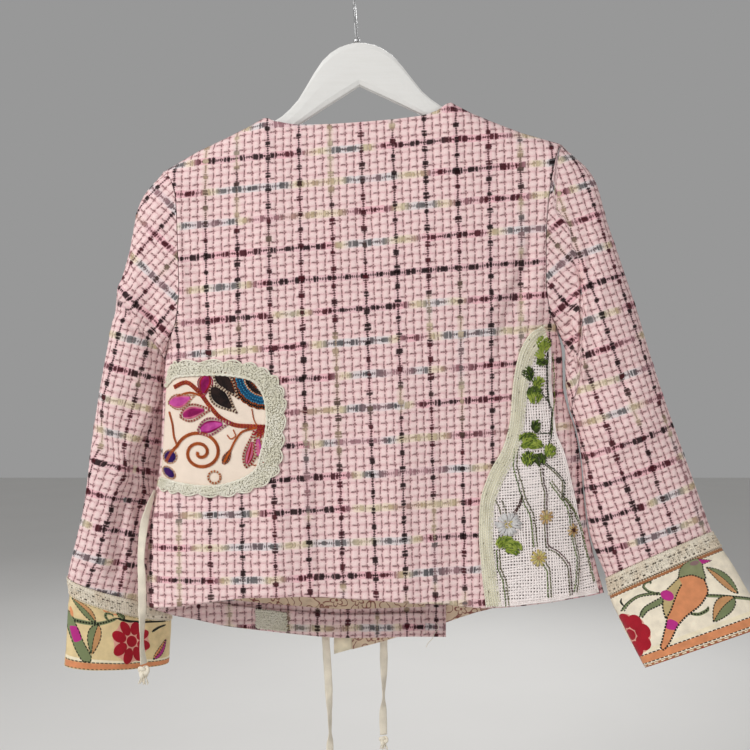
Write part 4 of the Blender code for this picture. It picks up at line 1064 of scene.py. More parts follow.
def shoulderLine(x):  # the shoulders, joined straight across the neck
    (leftX, leftZ), (rightX, rightZ) = neckPoint["left"], neckPoint["right"]
    across = np.interp(x, [leftX, rightX], [leftZ, rightZ])
    return np.where((x > leftX) & (x < rightX), across, topEdge(x))


def foldSum(table, x, z):
    total = np.zeros(np.shape(x))
    for topX, topZ, footX, footZ, half, height in table:
        way = (z - topZ) / (footZ - topZ)
        middle = topX + (footX - topX) * np.clip(way, 0.0, 1.0)
        total = total + height * np.exp(-(((x - middle) / half) ** 2)) * ramp(way * 3) * ramp((1.3 - way) * 4)
    return total


def bodyDepth(x, z, line, sideFall, column, neck, foldRows):
    below = np.maximum(line(x) - z, 0.0)
    fromLeft = np.maximum(x - leftEdge(z), 0.0)
    fromRight = np.maximum(rightEdge(z) - x, 0.0)
    nearLeft = np.exp(-fromLeft / sideFall)
    nearRight = np.exp(-fromRight / sideFall)
    shoulder = shoulderHalf * (1 - np.exp(-below / shoulderFall))
    middle = neck * neckHalf + (1 - neck) * shoulder + columnValue(bodyDepthRows, 0, column, below)
    arm = armHalf * (1 - np.exp(-below / armFall))
    overLeft = 1 - np.exp(-np.maximum(z - underarm["left"], 0.0) / underarmFall)
    overRight = 1 - np.exp(-np.maximum(z - underarm["right"], 0.0) / underarmFall)
    inside = (1 - nearLeft) * (1 - nearRight)
    faded = ramp(fromLeft / foldSide) * ramp(fromRight / foldSide) * ramp(below / foldTop)
    folded = foldSum(foldRows, x, z) * faded
    return middle * inside + arm * (nearLeft * overLeft + nearRight * overRight) + folded


def backY(x, z):
    neck = ramp(np.minimum(x - neckPoint["left"][0], neckPoint["right"][0] - x) / neckRamp)
    return -seam - bodyDepth(x, z, topEdge, backSideFall, 1, neck, backFolds)


def leftFrontY(x, z):
    return seam + bodyDepth(x, z, shoulderLine, frontSideFall, 2, 0.0, frontFolds)


def rightFrontY(x, z):
    lift = ramp((overlapTo - x) / (overlapTo - overlapFrom)) * ramp((shoulderLine(x) - z) / overlapFall)
    return leftFrontY(x, z) + overlap * lift


def onSurface(surface, x, z, out):  # points that far outside the surface, and the way out at each
    step = 0.5
    y = surface(x, z)
    slopeX = (surface(x + step, z) - surface(x - step, z)) / (2 * step)
    slopeZ = (surface(x, z + step) - surface(x, z - step)) / (2 * step)
    away = unitRows(together(-slopeX, np.ones(np.shape(y)), -slopeZ))
    if surface is backY:
        away = -away
    return together(x, y, z) + away * np.asarray(out)[..., None], away


# Creases: finer than the solids' folds, and all different
# x at top, z at top, x at foot, z at foot, half width, height
backCreases = [
    (-181, -262, -172, -352, 4.5, -1.6), (-172, -288, -150, -398, 5.5, -2), (-158, -330, -128, -404, 6, 1.3),
    (-186, -330, -176, -396, 5, 1.5), (-190, -404, -150, -412, 4, -1.1), (196, -262, 180, -352, 4.5, -1.7),
    (188, -300, 158, -392, 6, -1.8), (176, -318, 140, -372, 6.5, 1.3), (203, -318, 196, -380, 4.5, 1.4),
    (202, -404, 226, -470, 4, -1.5), (222, -452, 240, -560, 5, 1.6), (231, -512, 248, -640, 4.5, -1.4),
    (-96, -430, -60, -462, 5, -0.9), (-58, -470, -64, -585, 7, -1.3), (-38, -500, -52, -600, 6, 1),
    (-46, -580, -40, -682, 7.5, 1.3), (60, -520, 72, -640, 8, -1.2), (118, -470, 122, -560, 7, 1.1),
    (20, -200, 10, -330, 14, -1.1), (-70, -190, -100, -320, 12, 1), (112, -190, 96, -300, 11, -1.1),
    (-28, -168, -34, -214, 8, 0.9), (52, -164, 60, -222, 9, -0.9),
]
frontCreases = [
    (-186, -280, -150, -392, 6, -1.8), (-176, -330, -120, -420, 7, 1.4), (192, -270, 164, -380, 6, -1.8),
    (206, -340, 176, -440, 7, 1.3), (-150, -440, -164, -640, 8, -1.4), (-60, -460, -72, -620, 9, 1.3),
    (100, -420, 112, -600, 8, -1.4), (40, -520, 36, -720, 7, 1.2), (210, -460, 232, -640, 7, -1.5),
    (-10, -560, -16, -735, 6, -1.2),
]
weaveMap = {
    "originX": -155.9, "originZ": -239.4, "pivotX": -159.0, "leanFrom": -249.9, "frontX": 40.0, "frontZ": -240.0,
    # x, lean of the upright yarns
    "lean": [(-200.0, 0.014), (20.0, 0.035), (240.0, -0.012)],
    # z, rise of the level yarns to the right
    "rise": [(-650.0, 0.045), (-433.0, 0.07), (-240.0, 0.0875)],
}
edgeFade = 9.0  # how far from the seams creases and relief reach their height
frontAround = 310.0  # a front is about that wide
panelLook = {
    "spacing": 2.15, "hiddenSpacing": 2.9, "seamWidth": 3.0, "seamRise": 0.5, "seamPlace": 4.0, "slack": 1.06,
}


def bodyWeave(x, z):
    lean = np.interp(x, *zip(*weaveMap["lean"]))
    rise = np.interp(z, *zip(*weaveMap["rise"]))
    u = (x - weaveMap["originX"] - lean * (weaveMap["leanFrom"] - z)) / tweed["across"]
    v = (weaveMap["originZ"] - z + rise * (x - weaveMap["pivotX"])) / tweed["down"]
    return together(u, v)


def frontWeave(x, z):
    return together((x + weaveMap["frontX"]) / tweed["across"], (weaveMap["frontZ"] - z) / tweed["down"])


def weaveRelief(weave):  # the thick yarns, and the lumps of the slubs
    u, v = weave[..., 0], weave[..., 1]
    relief = tweed["pillow"] * (np.sin(np.pi * u) ** 2 * np.sin(np.pi * v) ** 2 - 0.5)
    for across, along in ((u, v), (v, u)):
        line = np.round(across / tweed["every"])
        off = across - line * tweed["every"]
        phase = along * 0.5 + line * tweed["spread"]
        place = phase - np.round(phase)
        relief = relief + tweed["slub"] * np.exp(-((off / tweed["slubWide"]) ** 2) - (place / tweed["slubLong"]) ** 2)
    return relief


def rowHeights(tip, armEnd, hem, armRows, sideRows):
    arm = np.linspace(tip, armEnd, armRows + 1)
    return np.concatenate([arm, np.linspace(armEnd, hem, sideRows + 1)[1:]])


def panelGrid(left, right, leftHeights, rightHeights, top, foot, across):
    leftX, rightX = left(leftHeights), right(rightHeights)
    leftWay = (leftHeights - leftHeights[0]) / (leftHeights[-1] - leftHeights[0])
    rightWay = (rightHeights - rightHeights[0]) / (rightHeights[-1] - rightHeights[0])
    x = leftX[:, None] * (1 - across) + rightX[:, None] * across
    way = leftWay[:, None] * (1 - across) + rightWay[:, None] * across
    return x, (1 - way) * top(x[0]) + way * foot(x[-1])


def fours(length, spacing):  # how many steps, in groups of four
    return 4 * max(1, round(length / spacing / 4))


def seamRidge(x, z):  # cloth folded under beside the seams
    near = np.minimum(x - leftEdge(z), rightEdge(z) - x)
    return panelLook["seamRise"] * np.exp(-(((near - panelLook["seamPlace"]) / panelLook["seamWidth"]) ** 2))


def insideOutline(x, z, outline):  # odd crossings to the right
    inside = np.zeros(np.shape(x), bool)
    for (x1, z1), (x2, z2) in zip(outline, outline[1:] + outline[:1]):
        if z1 != z2:
            inside ^= ((z1 > z) != (z2 > z)) & (x < x1 + (z - z1) * (x2 - x1) / (z2 - z1))
    return inside


def bareCloth(x, z):  # 0 under the patches, where the thick yarns are pressed flat
    floral = [(-230.0, -423.0)] + borderOuter + [(-230.0, -556.0)]
    side = [row[:2] for row in binding] + [(285.0, -690.0), (270.0, -640.0)] + [(x, z) for z, x in linenEdge[::-1]]
    return np.where(insideOutline(x, z, floral) | insideOutline(x, z, side), 0.0, 1.0)


def dressPanel(name, node, x, z, surface, creaseRows, weave, sides, shoulder, facing):
    fade = fromSides(x, z) * ramp((shoulderLine(x) - z) / edgeFade)
    bare = bareCloth(x, z) if surface is backY else 1.0
    relief = weaveRelief(weave) * fade * bare + foldSum(creaseRows, x, z) * fade + seamRidge(x, z) * fade * bare
    outer, away = onSurface(surface, x, z, relief)
    inner = outer - away * (tweed["thickness"] + np.maximum(relief, 0.0))[..., None]
    inner[0, shoulder] = outer[0, shoulder] + np.array([0.0, 0.0, -tweed["thickness"]])
    for column, armEnd, sign in sides:
        edge = outer[:, column]
        onArm = edge[:, 2] > armEnd + 0.01
        along = np.gradient(edge, axis=0)
        inwards = unitRows(together(np.zeros(len(edge)), along[:, 2] * facing, -along[:, 1] * facing))
        inwards[0] = (0, 0, -1)
        inwards[~onArm] = (sign, 0.0, 0.0)
        inner[:, column] = edge + inwards * tweed["thickness"]
    made = clothShell(name, outer, inner, weave, [tweedCloth, tweedInside])
    return standsFor(made, node)


def backPanel():
    spacing = panelLook["spacing"]
    left, right = edgeRows["left"], edgeRows["right"]
    leftNeckX, rightNeckX = neckPoint["left"][0], neckPoint["right"][0]
    armRows = fours(left[0][0] - underarm["left"], spacing)
    sideRows = fours(underarm["left"] - left[-1][0], spacing)
    leftHeights, rightHeights = (
        rowHeights(rows[0][0], underarm[side], rows[-1][0], armRows, sideRows) for side, rows in edgeRows.items()
    )
    width = right[0][1] - left[0][1]
    leftShare, rightShare = (leftNeckX - left[0][1]) / width, (right[0][1] - rightNeckX) / width
    parts = []
    for start, end in ((0.0, leftShare), (leftShare, 1 - rightShare), (1 - rightShare, 1.0)):
        steps = fours((end - start) * width * panelLook["slack"], spacing)
        parts.append(np.linspace(start, end, steps + 1)[bool(parts):])
    x, z = panelGrid(
        leftEdge, rightEdge, leftHeights, rightHeights, topEdge, lambda at: columnValue(backHem, 0, 1, at),
        np.concatenate(parts),
    )
    return dressPanel(
        "back_cloth", "back", x, z, backY, backCreases, bodyWeave(x, z),
        [(0, underarm["left"], 1.0), (-1, underarm["right"], -1.0)],
        (x[0] <= leftNeckX + 0.01) | (x[0] >= rightNeckX - 0.01), -1,
    )


def frontGrid(side, armRows, sideRows, across):
    rows, neck = frontEdge[side], neckPoint[side]
    tip, hem = edgeRows[side][0][0], edgeRows[side][-1][0]
    heights = rowHeights(tip, underarm[side], hem, armRows, sideRows)
    way = (heights - tip) / (hem - tip)
    return panelGrid(
        leftEdge if side == "left" else rightEdge, lambda at: columnValue(rows, 0, 1, at), heights,
        neck[1] + (rows[-1][0] - neck[1]) * way, topEdge, lambda at: columnValue(frontHem[side], 0, 1, at), across,
    )


def frontPanel(side, surface):
    tip, hem = edgeRows[side][0][0], edgeRows[side][-1][0]
    spacing = panelLook["hiddenSpacing"]
    across = np.linspace(0.0, 1.0, fours(frontAround, spacing) + 1)
    x, z = frontGrid(side, fours(tip - underarm[side], spacing), fours(underarm[side] - hem, spacing), across)
    return dressPanel(
        "front_" + side + "_cloth", "front_" + side, x, z, surface, frontCreases, frontWeave(x, z),
        [(0, underarm[side], 1.0 if side == "left" else -1.0)], np.ones(x.shape[1], bool), 1,
    )


def sewEdgeTape(made, width):  # cream tape inside the right front's edge
    made.data.materials.append(facingCotton)
    for face in made.data.polygons:
        x, _, z = face.center / mm
        if face.material_index == 1 and x < columnValue(frontEdge["right"], 0, 1, z) + width:
            face.material_index = 2


backMade = backPanel()
frontsMade = {"left": frontPanel("left", leftFrontY), "right": frontPanel("right", rightFrontY)}
sewEdgeTape(frontsMade["right"], 30.0)
print("panels:", len(backMade.data.polygons), [len(made.data.polygons) for made in frontsMade.values()])


# Sleeves: tubes from the armhole down to the lace
# station from, angle from, station to, angle to, half width in degrees, height
sleeveFine = {
    "left": [
        (1, 128, 2.2, 82, 7, -1.6), (1.8, 158, 3, 112, 7, -1.8), (2.4, 148, 3.6, 88, 6, 1.5),
        (3.6, 120, 4.6, 60, 7, -1.4), (4.8, 130, 6, 84, 7, -1.3), (5.2, 60, 6.6, 96, 8, 1.2),
        (6.4, 118, 7.6, 70, 8, -1.1), (0.4, 40, 1.8, 30, 8, -1.2), (2.6, -60, 4, -100, 9, -1.6),
        (4.4, -120, 5.8, -70, 9, 1.5), (6.8, 40, 7.9, 60, 9, 1),
    ],
    "right": [
        (0.15, 78, 1.9, 112, 5, -1.9), (0.2, 56, 1.6, 78, 5, -1.5), (0.25, 94, 1.4, 126, 5, 1.6),
        (0.2, 34, 1.2, 46, 5, -1.1), (1.8, 120, 2.9, 92, 6.5, -1.5), (2.2, 70, 3.4, 100, 7, 1.3),
        (3.4, 128, 4.4, 96, 7, -1.5), (4.2, 70, 5.4, 100, 7.5, -1.2), (5.4, 126, 6.6, 86, 8, 1.3),
        (6.4, 60, 7.7, 88, 8, -1.1), (2.6, -70, 4, -110, 9, -1.6), (4.4, -60, 6, -96, 9, 1.4),
    ],
}
sleeveLook = {
    "around": 96, "rings": 208, "closer": 1.15, "blend": 0.07, "creaseFade": 0.8, "creaseScale": 30,
    # how much of a crease shows at the sides of the sleeve and across it, and where the relief starts and ends
    "atSides": 0.25, "across": 0.6, "reliefFrom": 0.25, "reliefTo": 0.12,
    # where the lip and the tuck of the fold lie, and how wide they are, in stations from the fold
    "lip": (-0.25, 0.22), "tuck": (0.16, 0.17),
}
# Seen from the back: how much the level yarns fall to the right above the fold and below it, in degrees,
# and the fold itself, as angle and station. The fold's lip stands out and the cloth below it is tucked in.
sleeveFold = {
    "left": {
        "above": 43, "below": 15, "lip": 3.2, "tuck": 5.5, "hinge": (2.45, 19),
        "line": [(0, 3.3), (71, 2.45), (105, 1.8), (158, 1), (180, 0.8)],
    },
    "right": {
        "above": -42, "below": -19, "lip": 0, "tuck": 0, "hinge": (1.15, 28),
        "line": [(0, 0), (64, 0.1), (90, 0.4), (105, 1.15), (120, 2.1), (139, 2.85), (180, 3.3)],
    },
}


def ringFrame(table, station):  # centre, half width, half depth and axis of the sleeve at a station
    outerX, outerZ, innerX, innerY, innerZ, half, drop = (
        float(alongRows(table, column, station)) for column in range(7)
    )
    outer = np.array([outerX, 0.0, outerZ])
    inner = np.array([innerX, innerY, innerZ])
    wide = (outer - inner) / 2
    deep = np.array([0.0, 1.0, -drop])
    deep = unitRows(deep - np.dot(deep, unitRows(wide)) * unitRows(wide))
    return (outer + inner) / 2, wide, deep * half, unitRows(np.cross(wide, deep))


def armhole(edge, tip, armEnd, facing, count):
    z = np.linspace(tip, armEnd, count + 1)
    x = edge(z)
    y = (backY if facing < 0 else leftFrontY)(x, z)
    y[0] = y[-1] = facing * seam
    points = together(x, y, z)
    along = points[2:] - points[:-2]
    inwards = np.zeros_like(points)
    inwards[1:-1, 1] = along[:, 2] * facing
    inwards[1:-1, 2] = -along[:, 1] * facing
    inwards = unitRows(inwards)
    inwards[0], inwards[-1] = (0, 0, -1), (0, 0, 1)
    return points, inwards


def creaseSum(table, station, turns):
    total = np.zeros(len(turns))
    degrees = (np.degrees(turns) + 180) % 360 - 180
    for start, angleFrom, end, angleTo, half, height in table:
        way = (station - start) / (end - start)
        middle = angleFrom + (angleTo - angleFrom) * way
        fade = ramp((way + 0.15) * 3) * ramp((1.15 - way) * 3)
        total = total + height * fade * np.exp(-(((degrees - middle) / half) ** 2))
    return total


def tubeInwards(rings):
    around = np.roll(rings, -1, axis=1) - np.roll(rings, 1, axis=1)
    inwards = unitRows(np.cross(around, np.gradient(rings, axis=0)))
    middle = rings.mean(axis=1, keepdims=True)
    return -inwards if ((middle - rings) * inwards).sum() < 0 else inwards


def pastFold(fold, station, turns):  # stations below the fold, the same on the front as on the back
    degrees = np.degrees(turns) % 360
    return station - np.interp(np.minimum(degrees, 360 - degrees), *zip(*fold["line"]))


def flatWeave(outer, sign, slant):  # both yarns measured on the cloth, each square to the other
    slant = math.radians(slant)
    down = np.array([-math.sin(slant), 0.0, -math.cos(slant)])
    across = np.array([math.cos(slant), 0.0, -math.sin(slant)]) * -sign
    quarter = outer.shape[1] // 4
    steps = np.diff(np.concatenate([outer, outer[:, :1]], axis=1), axis=1)
    lengths = steps @ down
    widths = np.sqrt(np.maximum((steps**2).sum(axis=2) - lengths**2, 0.0))
    middle = outer[:, quarter] - outer[0, quarter]

    def summed(values, start):
        total = np.concatenate([np.zeros((len(outer), 1)), np.cumsum(values, axis=1)], axis=1)
        return total - total[:, quarter][:, None] + start[:, None]

    u = summed(widths, middle @ across) / tweed["across"]
    return together(u, summed(lengths, middle @ down) / tweed["down"])


def sleeveWeave(outer, sign, fold, stations, turns):
    above, below = flatWeave(outer, sign, fold["above"]), flatWeave(outer, sign, fold["below"])
    station, column = fold["hinge"]
    row = int(np.searchsorted(stations, station))
    below = below + above[row, column] - below[row, column]
    past = pastFold(fold, stations[:, None], np.append(turns, 0.0)[None, :])
    share = ramp(past / sleeveLook["blend"] + 0.5)[..., None]
    return above * (1 - share) + below * share


def sleeveCloth(side, outwards, edge):
    table, fold, tip = sleeveRows[side], sleeveFold[side], edgeRows[side][0][0]
    creaseRows = sleeveCreases[side] + sleeveFine[side]
    count = sleeveLook["around"] // 2
    turns = np.arange(2 * count) * math.pi / count
    backHalf, backIn = armhole(edge, tip, underarm[side], -1, count)
    frontHalf, frontIn = armhole(edge, tip, underarm[side], 1, count)
    seamPoints = np.concatenate([backHalf, frontHalf[-2:0:-1]])
    seamIn = np.concatenate([backIn, frontIn[-2:0:-1]])
    seamPoints[0, 1] = seamPoints[count, 1] = 0.0
    seamPoints = seamPoints + np.array([outwards * armSeam, 0.0, 0.0])
    centre, wide, deep, axis = ringFrame(table, 0)
    local = seamPoints - centre
    seamWide = local @ wide / np.dot(wide, wide)
    seamDeep = local @ unitRows(deep)
    seamOff = local @ axis
    stations = laceStation * (np.arange(sleeveLook["rings"] + 1) / sleeveLook["rings"]) ** sleeveLook["closer"]
    rings = []
    for station in stations:
        centre, wide, deep, axis = ringFrame(table, station)
        blend = ramp(station / capEndsAt)
        across = seamWide * (1 - blend) + np.cos(turns) * blend
        depth = seamDeep * (1 - blend) - np.linalg.norm(deep) * np.sin(turns) * blend
        off = seamOff * (1 - ramp(station / seamFadesAt))
        crease = creaseSum(creaseRows, station, turns)
        past = pastFold(fold, station, turns)
        inView = sleeveLook["atSides"] + (1 - sleeveLook["atSides"]) * np.abs(np.sin(turns)) ** 0.5
        for part, sign in (("lip", 1), ("tuck", -1)):
            place, half = sleeveLook[part]
            crease = crease + sign * inView * fold[part] * np.exp(-(((past - place) / half) ** 2))
        crease = 1 + crease * ramp(station / sleeveLook["creaseFade"]) / sleeveLook["creaseScale"]
        across = across * (1 - sleeveLook["across"] + sleeveLook["across"] * crease)
        rings.append(
            centre + across[:, None] * wide + (depth * crease)[:, None] * unitRows(deep) + off[:, None] * axis
        )
    outer = np.array(rings)
    weave = sleeveWeave(outer, outwards, fold, stations, turns)
    inwards = tubeInwards(outer)
    fade = ramp(stations / sleeveLook["reliefFrom"]) * ramp((laceStation - stations) / sleeveLook["reliefTo"])
    relief = weaveRelief(weave[:, :-1]) * fade[:, None]
    outer = outer - inwards * relief[..., None]
    inner = outer + inwards * (tweed["thickness"] + np.maximum(relief, 0.0))[..., None]
    inner[0] = seamPoints + seamIn * tweed["thickness"]
    made = clothShell("sleeve_" + side + "_cloth", outer, inner, weave, [tweedCloth, tweedInside], wrap=True)
    return standsFor(made, "sleeve_" + side)


sleevesMade = {"left": sleeveCloth("left", -1, leftEdge), "right": sleeveCloth("right", 1, rightEdge)}
print("sleeves:", [len(made.data.polygons) for made in sleevesMade.values()])


# Lining, hem facing and the scrap of crochet inside the fronts
hiddenRows = {"left": (5, -6), "right": (5, None)}
insideDepth = 3.28
silkThickness = 0.8
facingThickness = 1.6
insideFrom = 0.03  # the shares of the width that the pieces inside a front take
insideTo = 0.93


def innerDepth(x, z):
    fade = fromSides(x, z)
    return -insideDepth + np.minimum(foldSum(frontCreases, x, z), 0.0) * fade


def liningPiece(side, surface):
    across = np.linspace(insideFrom, insideTo, 61)
    x, z = frontGrid(side, 40, 60, across)
    start, end = hiddenRows[side]
    x, z = x[40 + start:][: end], z[40 + start:][: end]
    rows = (len(x) - 1) // 4 * 4 + 1
    pick = np.round(np.linspace(0, len(x) - 1, rows)).astype(int)
    x, z = x[pick], z[pick]
    depth = innerDepth(x, z)
    near = np.abs(z - z[-1]) / 6
    depth = depth - 0.5 * np.sin(x / 9.0 + z / 23.0) * ramp(near) - 0.5 * ramp(near)
    outer, away = onSurface(surface, x, z, depth)
    inner = outer - away * silkThickness
    weave = together(x, z)
    made = clothShell("lining_" + side + "_silk", outer, inner, weave, [liningCloth])
    return standsFor(made, "lining_" + side)


def facingPiece():
    across = np.linspace(insideFrom, insideTo, 121)
    x, z = frontGrid("left", 40, 12, across)
    share = np.linspace(facingFrom, facingTo, 17)[:, None]
    x = x[-2] * (1 - share) + x[-1] * share
    z = z[-2] * (1 - share) + z[-1] * share
    weave = frontWeave(x, z)
    relief = np.minimum(weaveRelief(weave), 0.5) * 0.5
    outer, away = onSurface(leftFrontY, x, z, innerDepth(x, z))
    inner = outer - away * (facingThickness + relief)[..., None]
    made = clothShell("facing_left_cloth", inner, outer, weave, [tweedCloth, tweedInside])
    return standsFor(made, "facing_left")


def looseThread():  # a thread that has come out of the facing's end
    bundle = Bundle()
    line = [
        (92, 30, -709.5), (95.5, 27, -715), (91, 25.5, -721.5), (88.5, 25, -727), (84, 25.2, -732),
        (81.5, 25.4, -736.5),
    ]
    path = smoothLine(line, 1.0)
    bundle.sweep(path, (0.0, 1.0, 0.2), 0.3, 0.3)
    made = standsFor(bundle.make("loose_thread", [laceYarn]))


def crochetScrap():
    bundle = Bundle()
    random = np.random.default_rng(77)
    x = np.linspace(scrapLeft, scrapRight, 14)
    foot = columnValue(frontHem["left"], 0, 1, x) + hemInset
    for row in range(8):
        share = (row + 0.5) / 8
        z = foot + scrapRise * share
        depth = innerDepth(x, z) - facingThickness - 1.2
        places, away = onSurface(leftFrontY, x, z, depth)
        along = unitRows(np.gradient(places, axis=0))
        for lean, shift in ((0.55, -0.55), (-0.55, 0.55)):
            leans = lean * np.exp(random.uniform(-1.1, 1.1, (len(places), 1)))
            ways = along * leans + np.array([0.0, 0.0, -1.0])
            drift = random.uniform(-0.7, 0.7, (len(places), 3)) * (1.0, 0.3, 1.0)
            bundle.beads(places + along * shift * 1.1 + drift, ways, (0.0, -1.0, 0.0), (2.1, 0.95, 0.8))
    z = np.array([foot + scrapRise * share for share in (0.0, 0.25, 0.5, 0.75, 1.0)])[:, :13]
    x = np.repeat(x[None, :13], 5, axis=0)
    outer, away = onSurface(leftFrontY, x, z, innerDepth(x, z) - facingThickness - 0.6)
    base = clothShell("crochet_scrap_ground", outer - away * 0.5, outer, together(x, z), [crochetGround])
    standsFor(base, "crochet_scrap_on_facing")
    standsFor(bundle.make("crochet_scrap_stitches", [crochetYarn]))


liningPiece("left", leftFrontY)
liningPiece("right", rightFrontY)
facingPiece()
looseThread()
crochetScrap()
print("inside pieces")


# Bands round the sleeve ends: places by the way round, and down from the upper edge
class SleeveBand:
    def __init__(self, table, side, start, end):
        self.table, self.start, self.end = table, start, end
        self.sign = -1.0 if side == "left" else 1.0  # the outer edge lies to the left or to the right
        turns = np.linspace(0.0, 2 * math.pi, 721)
        _, wide, deep, _ = ringFrame(table, (start + end) / 2)
        ring = np.cos(turns)[:, None] * wide - np.sin(turns)[:, None] * deep
        reach = reachAlong(ring)
        self.round = reach[-1]
        self.turns, self.reach = turns, reach
        self.wide = np.linalg.norm(wide)
        tops = [self.point(0.0, share, 0.0) for share in (0.0, 1.0)]
        self.high = float(np.linalg.norm(tops[1] - tops[0]))

    def turn(self, a):  # angle at the way round a, from the middle of the back towards the photo's right
        reach = np.mod(self.round / 4 - self.sign * np.asarray(a), self.round)
        return np.interp(reach, self.reach, self.turns)

    def arc(self, x):  # the way round of a place seen that far from the middle
        x = np.asarray(x, float)
        turns = np.linspace(-math.pi / 2, math.pi / 2, 181)
        seen = np.sin(turns) * self.wide
        ways = np.interp(turns + math.pi / 2, self.turns, self.reach) - self.round / 4
        inside = np.interp(x, seen, ways)
        return inside + np.where(np.abs(x) > self.wide, x - np.sign(x) * self.wide, 0.0)

    def point(self, a, share, out):
        a, share, out = (np.asarray(value, float) for value in np.broadcast_arrays(a, share, out))
        flatShare = share.ravel()
        turns = self.turn(a).ravel()
        unique, index = np.unique(np.round(flatShare, 4), return_inverse=True)
        frames = [ringFrame(self.table, self.start + (self.end - self.start) * value) for value in unique]
        centre, wide, deep = (np.array([frameRow[part] for frameRow in frames])[index] for part in range(3))
        halfWide = np.linalg.norm(wide, axis=1)[:, None]
        halfDeep = np.linalg.norm(deep, axis=1)[:, None]
        cosine, sine = np.cos(turns)[:, None], np.sin(turns)[:, None]
        away = unitRows(cosine * unitRows(wide) / halfWide - sine * unitRows(deep) / halfDeep)
        place = centre + cosine * wide - sine * deep + away * out.ravel()[:, None]
        return place.reshape(*a.shape, 3)


cuffBands = {side: SleeveBand(table, side, cuffStation, cuffEnd) for side, table in sleeveRows.items()}
laceBands = {side: SleeveBand(table, side, laceStation, cuffStation) for side, table in sleeveRows.items()}

# Lace: rows of open slots between cords, with crochet stitches over the cords
laceLook = {
    "step": 1.45, "rise": 1.3, "rows": 13, "thickness": 0.5, "stitch": 2.7,
    # first row of the slots, rows, fewest and most steps that a slot takes, first place
    "slots": [(2, 1, 1, 2, 0), (4, 2, 2, 3, 2), (7, 1, 1, 3, 1), (9, 1, 1, 2, 3), (11, 1, 1, 2, 2)],
    # share of the height, lean, half length, half width
    "stitches": [
        (0.05, 0.8, 1.45, 0.65), (0.27, 0.7, 1.3, 0.55), (0.52, -0.6, 1.4, 0.6), (0.74, 0.6, 1.3, 0.55),
        (0.95, 0.8, 1.5, 0.75),
    ],
}


def laceBand(side):
    band = laceBands[side]
    around = int(band.round / laceLook["step"] / 20) * 20
    rows = laceLook["rows"]
    a = np.arange(around) * band.round / around
    share = np.linspace(0.03, 0.97, rows + 1)
    scallop = 0.03 * np.abs(np.sin(a * math.pi / 5.8))
    grid = np.stack([
        band.point(a, value - scallop * (value < 0.06), 0.35 + 0.25 * math.sin(row * 2.2))
        for row, value in enumerate(share)
    ])
    holes = set()
    random = np.random.default_rng(31 if side == "left" else 32)
    for first, tall, fewest, most, shift in laceLook["slots"]:
        column = shift
        while column < around - 3:
            wide = int(random.integers(fewest, most + 1))
            start = first + int(random.integers(0, 2)) * (tall > 1 and random.random() < 0.3)
            if random.random() < 0.82:
                end = min(column + wide, around - 1)
                holes |= {(row, step) for row in range(start, first + tall) for step in range(column, end)}
            column += wide + int(random.integers(1, 4))
    faces, uvs = [], []
    for row in range(rows):
        for column in range(around):
            if (row, column) in holes:
                continue
            faces.append(cell(row, column, around))
            left, top = column * laceLook["step"], row * laceLook["rise"]
            right, foot = left + laceLook["step"], top + laceLook["rise"]
            uvs += [(left, top), (right, top), (right, foot), (left, foot)]
    made = addMesh("cuff_lace_" + side + "_net", grid.reshape(-1, 3), faces, uvs, [laceYarn])
    thicken(made, laceLook["thickness"])
    bundle = Bundle()
    for height, lean, halfLong, halfWide in laceLook["stitches"]:
        count = int(band.round / laceLook["stitch"])
        ways = (np.arange(count) + 0.5) * band.round / count
        places = band.point(ways, height, 0.95)
        nextPlaces = band.point(ways + 0.5, height, 0.95)
        lower = band.point(ways, height + 0.02, 0.95)
        along, down = unitRows(nextPlaces - places), unitRows(lower - places)
        up = unitRows(np.cross(along, down))
        for sign in (-1, 1):
            middle = places + down * sign * 0.55
            for place, way, over in zip(middle, along + down * sign * lean, up):
                bundle.beads([place], [way], over, (halfLong, halfWide, 0.5))
    stitches = bundle.make("cuff_lace_" + side + "_stitches", [laceYarn])
    return standsFor(made, "cuff_lace_" + side), standsFor(stitches)


def thicken(made, thickness):
    solid = made.modifiers.new("thickness", "SOLIDIFY")
    solid.thickness = thickness * 2 * mm
    solid.offset = 0.0
    smooth = made.modifiers.new("round", "SUBSURF")
    smooth.levels = smooth.render_levels = 1
    bpy.context.view_layer.objects.active = made
    for modifier in list(made.modifiers):
        bpy.ops.object.modifier_apply(modifier=modifier.name)


lacesMade = {side: laceBand(side) for side in sleeveRows}
print("laces:", [len(piece.data.polygons) for pieces in lacesMade.values() for piece in pieces])


# Cuffs: printed cotton. Its print is drawn as flat shapes, laid in the order of the list and cut into the faces.
printColours = {
    "ground": (0.62, 0.60, 0.44), "orange": (0.74, 0.29, 0.13), "tan": (0.58, 0.30, 0.13),
    "brick": (0.42, 0.17, 0.07), "green": (0.10, 0.13, 0.055), "leafGreen": (0.20, 0.24, 0.115),
    "ink": (0.014, 0.015, 0.009), "red": (0.40, 0.008, 0.022), "rose": (0.78, 0.38, 0.30),
    "magenta": (0.50, 0.03, 0.24), "greyGreen": (0.27, 0.29, 0.15), "mauve": (0.28, 0.17, 0.17),
    "cream": (0.93, 0.82, 0.60), "ochre": (0.55, 0.42, 0.20),
}
printNames = list(printColours)
cuffGrounds = {"left": (0.78, 0.61, 0.33), "right": (0.93, 0.83, 0.66)}
cuffThickness = 1.6
cuffSlit = 0.12
cuffTop = 0.012
birdBody = [
    (6, 20), (17, 23), (29, 34), (27, 44), (18, 51.5), (7, 56), (-4, 58.5), (-13, 61.5), (-22, 66), (-31, 73),
    (-39, 79), (-45, 82), (-46.5, 78.5), (-42, 73), (-36, 66), (-29, 58), (-23, 50), (-15, 42), (-7, 33),
    (0, 26),
]
